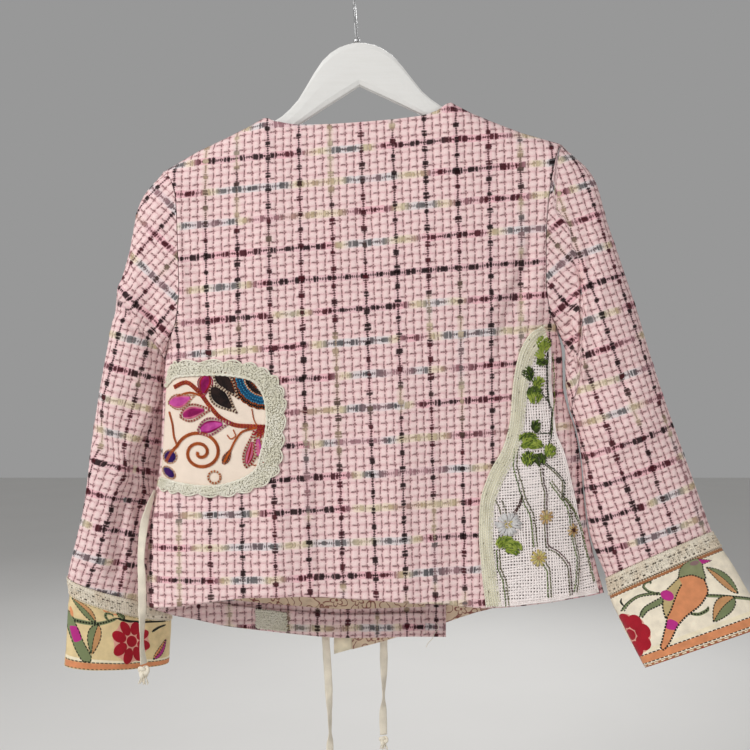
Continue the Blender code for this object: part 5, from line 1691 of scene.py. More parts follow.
birdWing = [(5, 21), (-4, 25), (-13, 29), (-20, 36), (-25.5, 45), (-28, 55), (-20, 50), (-11, 42), (-3, 35), (5, 29)]
birdNeck = [(5, 21), (11, 10), (19, 3.6), (28, 1.8), (35.4, 6), (37, 13), (34, 22), (30, 34), (18, 23.5)]
broadLeaf = [
    (-63, 20), (-59, 19), (-52, 29), (-45, 39), (-36, 50), (-37, 54), (-43, 54), (-51, 47), (-57, 38),
    (-62, 28),
]
# Kinds: stripe (share from, share to, colour), run of stitches (share, length, gap, colour, width), stroke (points,
# width, colour), dashes of ink (points, width), stem, a stroke with dashes on it (points, width, colour, dash width),
# leaf (base, tip, width, first half, second half), flower (centre, radius, petals, turn, plumpness), oval (centre,
# half long, half wide, turn, colour), form (points, colour). Places are across and down in millimetres as seen.
cuffPrints = {
    "left": [
        ("stripe", 0, 0.03, "cream"), ("run", 0.045, 3, 2, "ink", 0.9), ("stripe", 0.895, 0.985, "orange"),
        ("run", 0.885, 3.2, 1.4, "ink", 1.2), ("run", 0.985, 2.4, 2.2, "ink", 1), ("stripe", 0.84, 0.878, "cream"),
        ("form", [(-27, 2), (-15, 4.6), (-8, 1.4), (-8, 4.2), (-17, 6.8), (-26, 5)], "orange"),
        ("stem", [(-60, 24.5), (-46, 23.5), (-33, 21.6), (-20, 16), (-11, 10)], 3.6, "leafGreen", 1.7),
        ("stroke", [(-11, 10), (0, 10.5), (14, 8.4), (30, 5), (50, 1)], 3.6, "ink"),
        ("stem", [(-20, 16), (-24, 11), (-22.5, 6.5), (-17, 6.2), (-15.5, 9)], 3.4, "leafGreen", 1.3),
        ("leaf", (-3, 9.5), (-12, 0.5), 7.5, "green", "leafGreen"),
        ("leaf", (-34, 20.5), (-59, 2.5), 11.5, "tan", "leafGreen"),
        ("leaf", (-31, 22), (-36, 48), 14, "leafGreen", "tan"),
        ("stroke", [(31, 20), (40, 14), (50, 9)], 3.4, "ink"),
        ("form", broadLeaf, "leafGreen"),
        ("form", [(-58.5, 30.5), (-52.5, 28.5), (-47, 36.5), (-53.5, 40.5)], "magenta"),
        ("dashes", broadLeaf, 1.2),
        ("oval", (-63, 12), 6.5, 3.2, 80, "magenta"), ("oval", (-58, 18), 4.5, 2.2, 60, "orange"),
        ("flower", (7, 32.5), 23, 8, 12, 0.93),
        ("leaf", (35, 52), (52, 29), 9, "magenta", "orange"),
        ("dashes", [(35, 52), (44, 41), (52, 29)], 1),
    ],
    "right": [
        ("stripe", 0, 0.085, "brick"), ("run", 0.016, 1.5, 1.7, "cream", 2.4), ("run", 0.091, 3.2, 1.5, "ink", 1.3),
        ("stripe", 0.86, 0.945, "orange"), ("run", 0.855, 3.2, 1.5, "ink", 1.3), ("run", 0.950, 3.2, 1.5, "ink", 1.3),
        ("stripe", 0.80, 0.842, "cream"),
        ("stripe", 0.966, 1, "brick"), ("run", 0.980, 4.2, 3.4, "cream", 1.5), ("run", 0.990, 2.2, 6.1, "red", 1.2),
        ("stroke", [(-64, 31), (-54, 25), (-43, 22.5), (-30, 25.5), (-20, 30)], 3.4, "leafGreen"),
        ("dashes", [(-65, 31), (-54, 24), (-43, 21.5), (-30, 24.5), (-20, 29)], 1.5),
        ("dashes", [(-62, 32.5), (-53, 26.5), (-43, 24.2), (-31, 27), (-20, 31.5)], 1.3),
        ("stroke", [(-60, 27), (-61, 21), (-59, 16)], 2.4, "ink"),
        ("stroke", [(-50, 44), (-40, 39), (-28, 38), (-18, 36.5)], 5.6, "leafGreen"),
        ("dashes", [(-52, 45), (-41, 36.6), (-29, 34.8), (-18, 33.5)], 1.4),
        ("dashes", [(-49, 46), (-39, 41.5), (-28, 41), (-18, 39.5)], 1.4),
        ("stroke", [(-24, 28), (-31, 21), (-33, 13.5), (-29, 9), (-24, 10), (-25, 13.6)], 3, "leafGreen"),
        ("dashes", [(-23, 29), (-31, 22), (-34, 13.5), (-29, 8), (-23.5, 9.6), (-25, 13.6)], 1.5),
        ("stroke", [(20, 48), (36, 54), (50, 60), (75, 71)], 3.2, "leafGreen"),
        ("dashes", [(20, 47), (36, 53), (50, 59), (75, 70)], 1.5),
        ("leaf", (54, 57), (38, 22), 14, "leafGreen", "tan"),
        ("leaf", (48, 59), (14, 73), 15.5, "tan", "leafGreen"),
        ("stem", [(-3, 59), (6, 62), (15, 61), (18, 58.5)], 3.2, "leafGreen", 1.4),
        ("flower", (-67, 57), 23, 8, 5, 1.38),
        # The bird: body and tail, its band, wing and spot, neck and head, eye and beak
        ("form", birdBody, "orange"),
        ("form", [(-25.5, 56.5), (-19, 62.5), (-25.5, 67.5), (-32.5, 62.5)], "magenta"),
        ("dashes", birdBody[2:] + birdBody[:1], 1.8),
        ("form", birdWing, "ochre"), ("dashes", birdWing, 1.7),
        ("oval", (-15, 34.5), 7, 5.6, 50, "magenta"),
        ("form", birdNeck, "greyGreen"), ("dashes", birdNeck + birdNeck[:1], 1.7),
        ("oval", (28.5, 10), 5.6, 4, 15, "mauve"),
        ("form", [(34.5, 6.5), (47.5, 16.5), (36.5, 16.5)], "magenta"),
        ("dashes", [(34.5, 6), (48, 16.5), (36.5, 17)], 1),
    ],
}


def leafHalves(base, tip, width):
    base, tip = np.array(base, float), np.array(tip, float)
    along = tip - base
    length = np.linalg.norm(along)
    along /= length
    side = leftOf(along)
    share = np.linspace(0, 1, 13)
    bend = 0.06 * length * np.sin(share * math.pi)
    spine = base + share[:, None] * length * along + bend[:, None] * side
    swell = (np.sin(share ** 0.8 * math.pi) ** 0.85 * width / 2)[:, None] * side
    return spine, spine + swell, spine - swell


def strokeOutline(points, width):
    line = smoothLine(points, 1.6)
    place = np.arange(len(line))
    taper = np.minimum(1.0, 0.45 + np.minimum(place, place[::-1]) / 4)
    swell = sideOf(line) * (width / 2 * taper)[:, None]
    return np.concatenate([line + swell, (line - swell)[::-1]])


def dashOutlines(points, width):
    length, gap = 2.3, 0.9
    line = smoothLine(points, 0.8)
    reach = np.arange(len(line)) * 0.8
    found = []
    at = 0.0
    while at + length < reach[-1]:
        ends = together(*(np.interp([at, at + length / 2, at + length], reach, line[:, axis]) for axis in (0, 1)))
        side = sideOf(ends) * width / 2
        found.append((np.concatenate([ends + side, (ends - side)[::-1]]), "ink", True))
        at += length + gap
    return found


def ovalOutline(centre, halfLong, halfWide, turn, count=18):
    turns = np.arange(count) * 2 * math.pi / count
    x, y = halfLong * np.cos(turns), halfWide * np.sin(turns)
    angle = math.radians(turn)
    cosine, sine = math.cos(angle), math.sin(angle)
    return np.array(centre) + together(x * cosine - y * sine, x * sine + y * cosine)


def smoothOutline(points):
    closed = points[-2:] + points + points[:3]
    line = tablePoints(closed, 8 * (len(closed) - 1) + 1)
    return line[16: 16 + 8 * len(points): 2]


def printShapes(side, band):  # outlines in the band's own measures, in the order that they are laid
    shapes = []

    def placed(points):
        points = np.atleast_2d(np.asarray(points, float))
        return together(band.arc(points[:, 0]), points[:, 1])

    def lay(outline, colour, mirrored=True):
        shapes.append((outline, colour, mirrored))

    for kind, *given in cuffPrints[side]:
        if kind == "stripe":
            start, end, colour = given
            for edge in (band.low, band.low + band.round / 2):
                across = np.linspace(edge, edge + band.round / 2, 40)
                lower = together(across, np.full(40, end * band.high))
                upper = together(across[::-1], np.full(40, start * band.high))
                lay(np.concatenate([lower, upper]), colour, False)
        elif kind == "run":
            share, length, gap, colour, width = given
            middle = share * band.high
            top, foot = middle - width / 2, middle + width / 2
            at = band.low + 1.0
            while at + length < band.low + band.round - 1.0:
                end = at + length
                lay(np.array([(at, top), (end, top + 0.2), (end, foot), (at, foot - 0.2)]), colour, False)
                at += length + gap
        elif kind in ("stroke", "stem"):
            points, width, colour, *dashes = given
            lay(strokeOutline(placed(points), width), colour)
            for dash in dashes:
                shapes += dashOutlines(placed(points), dash)
        elif kind == "dashes":
            points, width = given
            shapes += dashOutlines(placed(points), width)
        elif kind == "leaf":
            base, tip, width, first, second = given
            spine, right, left = leafHalves(placed([base])[0], placed([tip])[0], width)
            lay(np.concatenate([spine, right[::-1]]), first)
            lay(np.concatenate([spine, left[::-1]]), second)
            for line, dash in ((right, 1.2), (left, 1.2), (spine, 0.9)):
                shapes += dashOutlines(line, dash)
        elif kind == "flower":
            centre, radius, petals, turn, plump = given
            centre = placed([centre])[0]
            turns = np.linspace(0, 2 * math.pi, 8 * petals, endpoint=False)
            rim = 1.0 - 0.09 * np.abs(np.cos(turns * petals / 2 + math.radians(turn) * petals / 2)) ** 3
            lay(centre + radius * 0.97 * rim[:, None] * together(np.cos(turns), np.sin(turns)), "rose")
            for petal in range(petals):
                angle = petal * 360.0 / petals + turn
                place = centre + heading(math.radians(angle)) * radius * 0.655
                lay(ovalOutline(place, radius * 0.36, radius * 0.252 * plump, angle, 20), "red")
            lay(ovalOutline(centre, radius * 0.27, radius * 0.25, 0, 16), "red")
        elif kind == "oval":
            centre, halfLong, halfWide, turn, colour = given
            lay(ovalOutline(placed([centre])[0], halfLong, halfWide, turn), colour)
        else:
            points, colour = given
            lay(placed(smoothOutline(points)), colour)
    return shapes


def clipped(outline, axis, sign, limit):  # the part of an outline on one side of a level line
    kept = []
    for start, end in zip(outline, np.roll(outline, -1, axis=0)):
        first, second = sign * start[axis] - limit, sign * end[axis] - limit
        if first >= 0:
            kept.append(start)
        if (first >= 0) != (second >= 0):
            kept.append(start + (end - start) * first / (first - second))
    return np.array(kept).reshape(-1, 2)


def cuffCloth(side):
    band = cuffBands[side]
    band.low = -band.round / 4 + cuffSlit
    high = band.low + band.round - 2 * cuffSlit
    points, faceList, colours = [], [], []

    def place(outline):  # its corners, counter-clockwise
        outline = np.asarray(outline, float)
        after = np.roll(outline, -1, axis=0)
        if (outline[:, 0] * after[:, 1] - outline[:, 1] * after[:, 0]).sum() < 0:
            outline = outline[::-1]
        for axis, sign, limit in ((0, 1, band.low), (0, -1, -high), (1, 1, 0.0), (1, -1, -band.high)):
            outline = clipped(outline, axis, sign, limit)
        start = len(points)
        points.extend((float(a), float(b)) for a, b in outline)
        return list(range(start, len(points)))

    columns, rows = int(band.round / 4), int(band.high / 4)
    corners = [(band.low + (high - band.low) * column / columns, 0.0) for column in range(columns + 1)]
    corners += [(high, band.high * row / rows) for row in range(1, rows + 1)]
    corners += [(band.low + (high - band.low) * column / columns, band.high) for column in range(columns - 1, -1, -1)]
    corners += [(band.low, band.high * row / rows) for row in range(rows - 1, 0, -1)]
    faceList.append(place(np.array(corners)))
    colours.append("ground")
    inner = [
        (band.low + (high - band.low) * column / columns, band.high * row / rows)
        for row in range(1, rows) for column in range(1, columns)
    ]
    points.extend(inner)
    for outline, colour, mirrored in printShapes(side, band):
        copies = [outline]
        if mirrored:
            flipped = outline.copy()
            flipped[:, 0] = band.round / 2 - flipped[:, 0]
            copies.append(flipped)
        for copy in copies:
            if copy[:, 0].max() < band.low or copy[:, 0].min() > high:
                continue
            corners = place(copy)
            if len(corners) > 2:
                faceList.append(corners)
                colours.append(colour)
    spots = [Vector(point) for point in points]
    flat, _, triangles, _, _, origins = delaunay_2d_cdt(spots, [], faceList, 1, 1e-5, True)
    flat = np.array([tuple(point) for point in flat])
    paint = [printNames.index(colours[max(origin)]) if origin else 0 for origin in origins]
    share = flat[:, 1] / band.high
    waves = 0.5 * np.sin(flat[:, 0] / 13.0 + flat[:, 1] / 19.0) + 0.4 * np.sin(flat[:, 0] / 7.3 - flat[:, 1] / 11.0)
    waves = waves * ramp(share * 4)
    roll = -0.5 * ramp((share - 0.95) / 0.05)
    shell = cuffTop + share * (1 - cuffTop)
    outer = band.point(flat[:, 0], shell, waves + roll)
    inside = band.point(flat[:, 0], shell, waves + roll - cuffThickness)
    count = len(flat)
    faces = [tuple(face) for face in triangles]
    edges = {}
    for face in faces:
        for start, end in zip(face, face[1:] + face[:1]):
            edges[(start, end)] = True
    rims = [edge for edge in edges if (edge[1], edge[0]) not in edges]
    allFaces = faces + [tuple(count + corner for corner in reversed(face)) for face in faces]
    allFaces += [(end, start, count + start, count + end) for start, end in rims]
    paints = paint + [len(printNames)] * len(faces) + [0] * len(rims)
    places = np.concatenate([flat, flat])
    uvs = np.array([places[corner] for face in allFaces for corner in face])
    colours = {**printColours, "ground": cuffGrounds[side]}
    materials = [clothMaterial("cuff_" + side + "_" + name, colours[name], 2.2, 0.35, 0.8) for name in printNames]
    materials.append(cuffLining)
    made = addMesh("cuff_" + side + "_print", np.concatenate([outer, inside]), allFaces, uvs, materials, paints)
    turnOutwards(made)
    return standsFor(made, "cuff_" + side)


cuffsMade = {side: cuffCloth(side) for side in sleeveRows}
print("cuffs:", [len(piece.data.polygons) for piece in cuffsMade.values()])


# Patches on the back, laid on its own surface with its creases
def onBack(points, out):  # points: across and up. Gives the places and the way out of the cloth.
    points = np.asarray(points, float)
    x, z = points[..., 0], points[..., 1]
    fade = fromSides(x, z)
    return onSurface(backY, x, z, foldSum(backCreases, x, z) * fade + out)


def patchShell(name, points, outs, thickness, weave, material):
    outer, away = onBack(points, outs)
    return clothShell(name, outer, outer - away * thickness, weave, [material])


def layCord(bundle, line, out, wide, high, paint=0):  # a thread that lies along a line on the back
    places, away = onBack(line, out)
    bundle.sweep(places, away, wide, high, paint=paint)


def ruled(first, second, shares):
    shares = np.asarray(shares, float)[None, :, None]
    return first[:, None] * (1 - shares) + second[:, None] * shares


def layBeads(bundle, points, lean, size, paint, out, within=None):
    # stitches at these places, each turned from the line that they follow
    points = np.asarray(points, float)
    if len(points) < 2:
        return
    places, away = onBack(points, out)
    along = unitRows(np.gradient(places, axis=0))
    side = unitRows(np.cross(away, along))
    ways = along + side * lean
    kept = np.ones(len(points), bool) if within is None else insideOutline(points[:, 0], points[:, 1], within)
    for place, way, up in zip(places[kept], ways[kept], away[kept]):
        bundle.beads([place], [way], up, size, paint)


rowPitch = 1.15  # from one row of stitches to the next


def chain(bundle, points, width, paint, out=1.8, pitch=1.7, other=None, within=None):
    # rows of chain stitch along a line; another colour may take every second stitch
    line = smoothLine(points, pitch)
    side = sideOf(line)
    size = (1.25, 0.62 if within is None else 0.92, 0.55)
    rows = max(1, round(width / rowPitch))
    for row in range(rows):
        offset = (row - (rows - 1) / 2) * rowPitch
        placed = line + side * offset
        for start in (0, 1):
            colour = paint if start == 0 or other is None else other
            lean = 0.34 if (row + start) % 2 else -0.34
            layBeads(bundle, placed[start::2], lean, size, colour, out, within)


def fillOval(bundle, centre, halfLong, halfWide, turn, paints):
    # satin rows along an oval, from one side to the other
    way = heading(math.radians(turn))
    side = leftOf(way)
    rows = max(2, int(round(2 * halfWide / rowPitch)))
    for row in range(rows):
        offset = (row + 0.5) / rows * 2 - 1
        reach = halfLong * math.sqrt(max(1 - offset * offset, 0.0)) * (1 - 0.06 * (row % 2))
        if reach < 1.0:
            continue
        share = np.linspace(-1, 1, max(4, int(reach / 1.2)))
        line = np.array(centre) + share[:, None] * way * reach + side * halfWide * offset
        paint = paints[min(len(paints) - 1, int(abs(offset) * len(paints)))]
        layCord(bundle, line, 1.4 + 0.25 * (1 - offset * offset) + 0.08 * (row % 2), 0.62, 0.45, paint)


def ovalLine(centre, halfLong, halfWide, turn):
    outline = ovalOutline(centre, halfLong, halfWide, turn, 28)
    return np.concatenate([outline, outline[:2]])


def edgedOval(bundle, centre, halfLong, halfWide, turn, paints, edge, other):
    fillOval(bundle, centre, halfLong - 1.2, halfWide - 1.2, turn, paints)
    chain(bundle, ovalLine(centre, halfLong, halfWide, turn), 1.1, edge, 1.7, 1.6, other)


def dropOutline(foot, tip, wide, bend):  # a leaf that starts as a point and ends round
    foot, tip = np.array(foot, float), np.array(tip, float)
    way = tip - foot
    reach = np.linalg.norm(way)
    way = way / reach
    side = leftOf(way)
    share = np.linspace(0.0, 1.0, 22)
    half = wide * np.sin(math.pi * share ** 1.55) ** 0.8
    middle = foot + share[:, None] * way * reach + (bend * np.sin(share * math.pi))[:, None] * side
    return middle, half, side


def dropLeaf(bundle, foot, tip, wide, paints, rim, other, bend, rimWide=1.5):
    middle, half, side = dropOutline(foot, tip, wide, bend)
    inner = np.maximum(half - rimWide, 0.0)
    rows = max(3, int(round(2 * (wide - rimWide) / 1.05)))
    for row in range(rows):
        offset = (row + 0.5) / rows * 2 - 1
        paint = paints[min(len(paints) - 1, int(abs(offset) * len(paints)))]
        keep = np.where(inner > 0.5)[0]
        line = middle[keep] + side * (offset * inner[keep])[:, None]
        layCord(bundle, line, 1.5 + 0.35 * (1 - offset * offset) + 0.1 * (row % 2), 0.62, 0.5, paint)
    rimLine = np.concatenate([middle + side * half[:, None], (middle - side * half[:, None])[::-1][1:]])
    chain(bundle, rimLine, rimWide, rim, 1.85, 1.6, other)


# Floral patch: ground, crochet border and embroidery, all in places of our own
borderLook = {
    # where head and foot start, over what length, and how far in the outer edge lies and out the inner one
    "head": (-440.0, 18.0), "foot": (-515.0, 20.0), "setIn": 1.8, "headIn": 3.4, "footOut": 0.6,
    "innerOut": 0.8, "footNarrower": 4.4,
}


def patchLines(count):  # the border's two edges: narrower along the foot, and a little in from the solid's outer edge
    outer, inner = tablePoints(borderOuter, count), tablePoints(borderInner, count)
    outwards = unitRows(outer - inner)
    footFrom, footOver = borderLook["foot"]
    headFrom, headOver = borderLook["head"]
    foot = ramp((footFrom - inner[:, 1]) / footOver)[:, None]
    head = ramp((outer[:, 1] - headFrom) / headOver)[:, None]
    setIn = borderLook["setIn"] + borderLook["headIn"] * head - borderLook["footOut"] * foot
    setOut = borderLook["innerOut"] + borderLook["footNarrower"] * foot
    return outer - outwards * setIn, inner + outwards * setOut, outwards


def floralGround():
    count = 57
    _, line, outwards = patchLines(2 * count + 3)
    line = line + outwards * 2.5
    upper, lower = line[:count], line[::-1][:count]
    points = ruled(upper, lower, np.linspace(0, 1, 41)).transpose(1, 0, 2)
    points[:, 0, 0] = np.maximum(points[:, 0, 0], leftEdge(points[:, 0, 1]) + 3)
    made = patchShell("floral_patch_ground", points, 1.05, 0.8, points, ivoryCotton)
    return standsFor(made, "floral_patch")


def floralBorder():
    count = 241
    outer, inner, outwards = patchLines(count)
    turn = np.arange(count) * math.pi * scallops / (count - 1)
    bump = np.abs(np.sin(turn))
    outer = outer + outwards * ((bump - 0.5) * scallopDepth * 1.5)[:, None]
    shares = np.linspace(0, 1, 9)
    points = ruled(inner, outer, shares)
    rise = 1.2 + (0.30 + 0.2 * bump[:, None]) * np.sin(shares * math.pi)[None, :] ** 0.6
    reach = reachAlong(inner)
    weave = together(*np.broadcast_arrays(shares[None, :] * 14.0, reach[:, None]))
    base = patchShell("floral_patch_border_ground", points, rise, 1.1, weave, crochetGround)
    bundle = Bundle()
    random = np.random.default_rng(7)
    for row in range(11):
        share = row * 0.098
        line = evenPoints(inner * (1 - share) + outer * share, 1.95)
        jitter = random.uniform(-0.8, 0.8, (len(line), 2))
        lump = 0.5 * np.sin(line[:, 0] / 2.9 + row * 1.9) * np.sin(line[:, 1] / 3.7 + row * 0.8)
        lift = lump + random.uniform(-0.35, 0.35, len(line))
        lean = np.tan(random.uniform(-1.45, 1.45, (len(line), 1)))
        layBeads(bundle, line + jitter, lean, (1.35, 0.95, 0.9), 0, 2.1 + 0.4 * math.sin(share * math.pi) + lift)
    # loops along the scalloped edge and a cord along the inner one
    for scallop in range(scallops):
        part = slice(int(scallop * (count - 1) / scallops), int((scallop + 1) * (count - 1) / scallops) + 1)
        arc = outer[part] + outwards[part] * (0.6 + 1.5 * bump[part])[:, None]
        layCord(bundle, arc, 1.6, 0.95, 0.8)
    edge = evenPoints(inner - outwards * 0.5, 2.2)
    for phase in (0.0, math.pi):  # two strands that wind round each other
        wind = np.arange(len(edge)) * 1.25 + phase
        layCord(bundle, edge + sideOf(edge) * (0.7 * np.sin(wind))[:, None], 2.3 + 0.4 * np.cos(wind), 0.85, 0.8)
    made = bundle.make("floral_patch_border_stitches", [crochetYarn])
    return standsFor(base, "floral_patch_border"), standsFor(made)


def spiralLine(centre, start, end, angle, turns, squash=1.0):
    share = np.linspace(0, 1, 60)
    radius = start + (end - start) * share ** 0.85
    way = np.radians(angle) + share * turns * 2 * math.pi
    return np.array(centre) + together(radius * np.cos(way), radius * np.sin(way) * squash)


# The fan-shaped flower in bands, from its rim to its heart: radius, thread, thread of every second stitch
fanBands = [
    (34.5, black, rust), (32.8, black, None), (31, rust, wine), (29.2, sky, blue), (27.6, blue, None),
    (26, blue, sky), (24.4, blue, None), (22.8, sky, blue), (21.2, rust, cream), (19.6, black, None),
    (18, black, None), (16.4, black, wine), (14.8, rust, wine), (13.2, black, None), (11.6, rust, None),
    (10, wine, None), (8.4, rust, cream),
]


def fanFlower(bundle, centre, angleFrom, angleTo):
    for radius, paint, other in fanBands:
        turns = np.radians(np.linspace(angleFrom, angleTo, max(8, int(radius))))
        rim = radius + 1.1 * np.abs(np.sin(np.degrees(turns) * math.pi / 14.0)) * (radius / 34.0)
        line = np.array(centre) + rim[:, None] * together(np.cos(turns), np.sin(turns))
        chain(bundle, line, 1.1, paint, 1.7, 1.35, other, borderInner)


def floralEmbroidery():
    bundle = Bundle()
    stem = [
        (-190, -446.5), (-177, -441.5), (-163, -450.5), (-150, -466.5), (-137, -479.5), (-118, -487),
        (-91, -488),
    ]
    chain(bundle, stem, 4.6, rust, other=red)
    chain(bundle, [(-186, -456), (-172, -452.5), (-160, -455.5)], 2.2, rust)
    dropLeaf(bundle, (-166, -455), (-197.5, -464), 8.2, [orchid, orchid, pink], rust, cream, 2)
    dropLeaf(bundle, (-157, -458), (-152, -433), 8, [magenta, magenta, red], magenta, red, 1.5)
    dropLeaf(bundle, (-147.5, -470), (-183, -478), 8.6, [magenta, magenta, pink], red, cream, -1.5, 2.4)
    dropLeaf(bundle, (-127.5, -484), (-163, -493), 8.6, [orchid, orchid, magenta], magenta, cream, -1.5, 2.4)
    dropLeaf(bundle, (-121, -473), (-149, -446), 9.4, [black], wine, cream, 1, 2)
    dropLeaf(bundle, (-119, -458), (-145, -431.5), 8.2, [black], wine, cream, -1.5, 1.8)
    fanFlower(bundle, (-91.5, -434), 172, 286)
    chain(bundle, [(-104.5, -470), (-102.5, -480), (-99, -487)], 1.7, rust, pitch=1.6)
    for lean in (-42, -20, 2, 24, 46):
        angle = math.radians(lean)
        tip = np.array([-95, -489]) + 9.5 * np.array([math.sin(angle), -math.cos(angle)])
        chain(bundle, [(-95, -487), tip], 2.4, red if lean % 4 else rust, 2.2, 1.5, red)
    dropLeaf(bundle, (-102.5, -493), (-110.5, -530.5), 6.4, [red, pink, red], red, cream, 1, 2.2)
    dropLeaf(bundle, (-97, -494), (-96.5, -521), 5.2, [pink, orchid], rust, cream, -1)
    chain(bundle, [(-101, -489.5), (-114, -493), (-122.5, -503), (-128.5, -516)], 2.4, rust, pitch=1.6)
    dropLeaf(bundle, (-126.5, -511), (-135, -527.5), 3.6, [rust, wine], rust, wine, 0, 1.2)
    chain(bundle, spiralLine((-160.5, -516), 27, 2.6, 165, -1.95, 0.88), 3.4, rust)
    chain(bundle, [(-186.5, -509.5), (-192, -515), (-199, -526)], 3, rust)
    chain(bundle, [(-196, -474), (-192, -488), (-190.5, -499), (-187, -508)], 2.2, rust)
    chain(bundle, ovalLine((-144.5, -541.5), 6.6, 6.2, 0), 2.2, rust, 1.9, 1.6, cream)
    edgedOval(bundle, (-195, -521.5), 8.2, 7.2, 8, [navy], rust, cream)
    edgedOval(bundle, (-196, -538.5), 8.6, 5.2, -34, [navy], rust, cream)
    chain(bundle, [(-124, -492), (-122, -497.5), (-127, -501), (-130.5, -497.5)], 1.6, rust, pitch=1.5)
    chain(bundle, [(-91, -525), (-97, -528.5), (-104, -528)], 1.2, rust, 1.7, 1.5)
    made = bundle.make("floral_patch_embroidery", threadMaterials)
    return standsFor(made)


floralMade = [floralGround(), *floralBorder(), floralEmbroidery()]
print("floral patch:", [len(piece.data.polygons) for piece in floralMade])


# Side patch: open linen net over a backing sheet painted dark as the shade seen through the net, a ribbon binding,
# and embroidered leaves and flowers
netLook = {
    "pitch": 2.95, "lean": 0.02, "rise": 0.055, "left": 128.0, "right": 270.0, "top": -392.0, "foot": -684.0,
    "out": 1.45, "wave": 0.22, "high": 0.34,
}


def sidePatchEdges(z):
    row = np.array(binding)
    left = smoothValue(row[:, 3], row[:, 2], z)
    right = columnValue(linenEdge, 0, 1, z)
    return left, right


def patchFoot(x):
    return columnValue(backHem, 0, 1, x) + 1.5


# the dark sheet under the net stands for the shade behind it
def sideBacking():
    z = np.linspace(-401.0, -670.0, 89)
    left, right = sidePatchEdges(z)
    foot = patchFoot(np.linspace(150.0, 262.0, 33))
    points = ruled(together(left - 3.0, z), together(np.maximum(right, left + 6), z), np.linspace(0, 1, 33))
    drop = ramp((-600.0 - points[..., 1]) / 69.0)
    points[..., 1] += drop * (foot[None, :] - z[-1])
    made = patchShell("side_patch_backing", points, 0.75, 0.5, points, shadowBacking)
    return standsFor(made, "side_patch")


def netThreads():
    bundle = Bundle()
    pitch = netLook["pitch"]

    def runs(line, inside):  # the parts of a line that lie in the patch
        start = None
        for place, within in enumerate(list(inside) + [False]):
            if within and start is None:
                start = place
            if not within and start is not None:
                if place - start > 1:
                    yield line[start:place]
                start = None

    def within(points):
        left, right = sidePatchEdges(points[:, 1])
        x, z = points[:, 0], points[:, 1]
        return (x > left - 2.0) & (x < right - 0.5) & (z > patchFoot(x)) & (z < -400.0)

    def loosen(points, seedling):  # the net is pulled out of square here and there
        x, z = points[:, 0], points[:, 1]
        shiftX = 0.8 * np.sin(z / 23.0 + x / 41.0) + 0.35 * np.sin(z / 7.0 + seedling)
        shiftZ = 0.8 * np.sin(x / 19.0 - z / 37.0) + 0.35 * np.sin(x / 6.0 + seedling * 1.7)
        return points + together(shiftX, shiftZ)

    def dense(points):  # how full the thread is, from place to place
        x, z = points[:, 0], points[:, 1]
        return 0.5 + 0.5 * np.sin(x / 17.0 + 1.4 * np.sin(z / 31.0)) * np.sin(z / 23.0 + 0.6)

    reach = np.arange(0.0, netLook["top"] - netLook["foot"], pitch / 2)
    for column in range(int((netLook["right"] - netLook["left"]) / pitch) + 1):
        x = netLook["left"] + column * pitch
        line = together(x + netLook["lean"] * reach, netLook["top"] - reach)
        line = loosen(line, column * 1.3)
        for part in runs(line, within(line)):
            count = np.round((netLook["top"] - part[:, 1]) / pitch * 2) / 2
            wave = np.sin((count + column % 2) * math.pi) * netLook["wave"]
            layCord(bundle, part, netLook["out"] + wave, 0.70 + 0.40 * dense(part), netLook["high"])
    across = np.arange(0.0, netLook["right"] - netLook["left"], pitch / 2)
    for row in range(int((netLook["top"] - netLook["foot"]) / pitch) + 6):
        z = netLook["top"] - row * pitch
        line = together(netLook["left"] + across, z + netLook["rise"] * across)
        line = loosen(line, row * 0.9)
        for part in runs(line, within(line)):
            count = (part[:, 0] - netLook["left"]) / pitch
            wave = -np.sin((count + row % 2) * math.pi) * netLook["wave"]
            wide = 0.72 + 0.44 * dense(part[:, ::-1] * 0.9)
            layCord(bundle, part, netLook["out"] + wave, wide, netLook["high"])
    # the woven edge along the hem and beside the seam
    x = np.linspace(152.0, 262.0, 60)
    for rise, radius in ((0.9, 1.0), (2.6, 0.7), (4.2, 0.6)):
        layCord(bundle, together(x, patchFoot(x) + rise), 1.7, radius, 0.6)
    z = np.linspace(-402.0, -668.0, 100)
    right = sidePatchEdges(z)[1]
    for shift in (-1.2, -3.0):
        layCord(bundle, together(right + shift, z), 1.6, 0.9, 0.55)
    made = bundle.make("side_patch_net", [linenYarn])
    return standsFor(made)


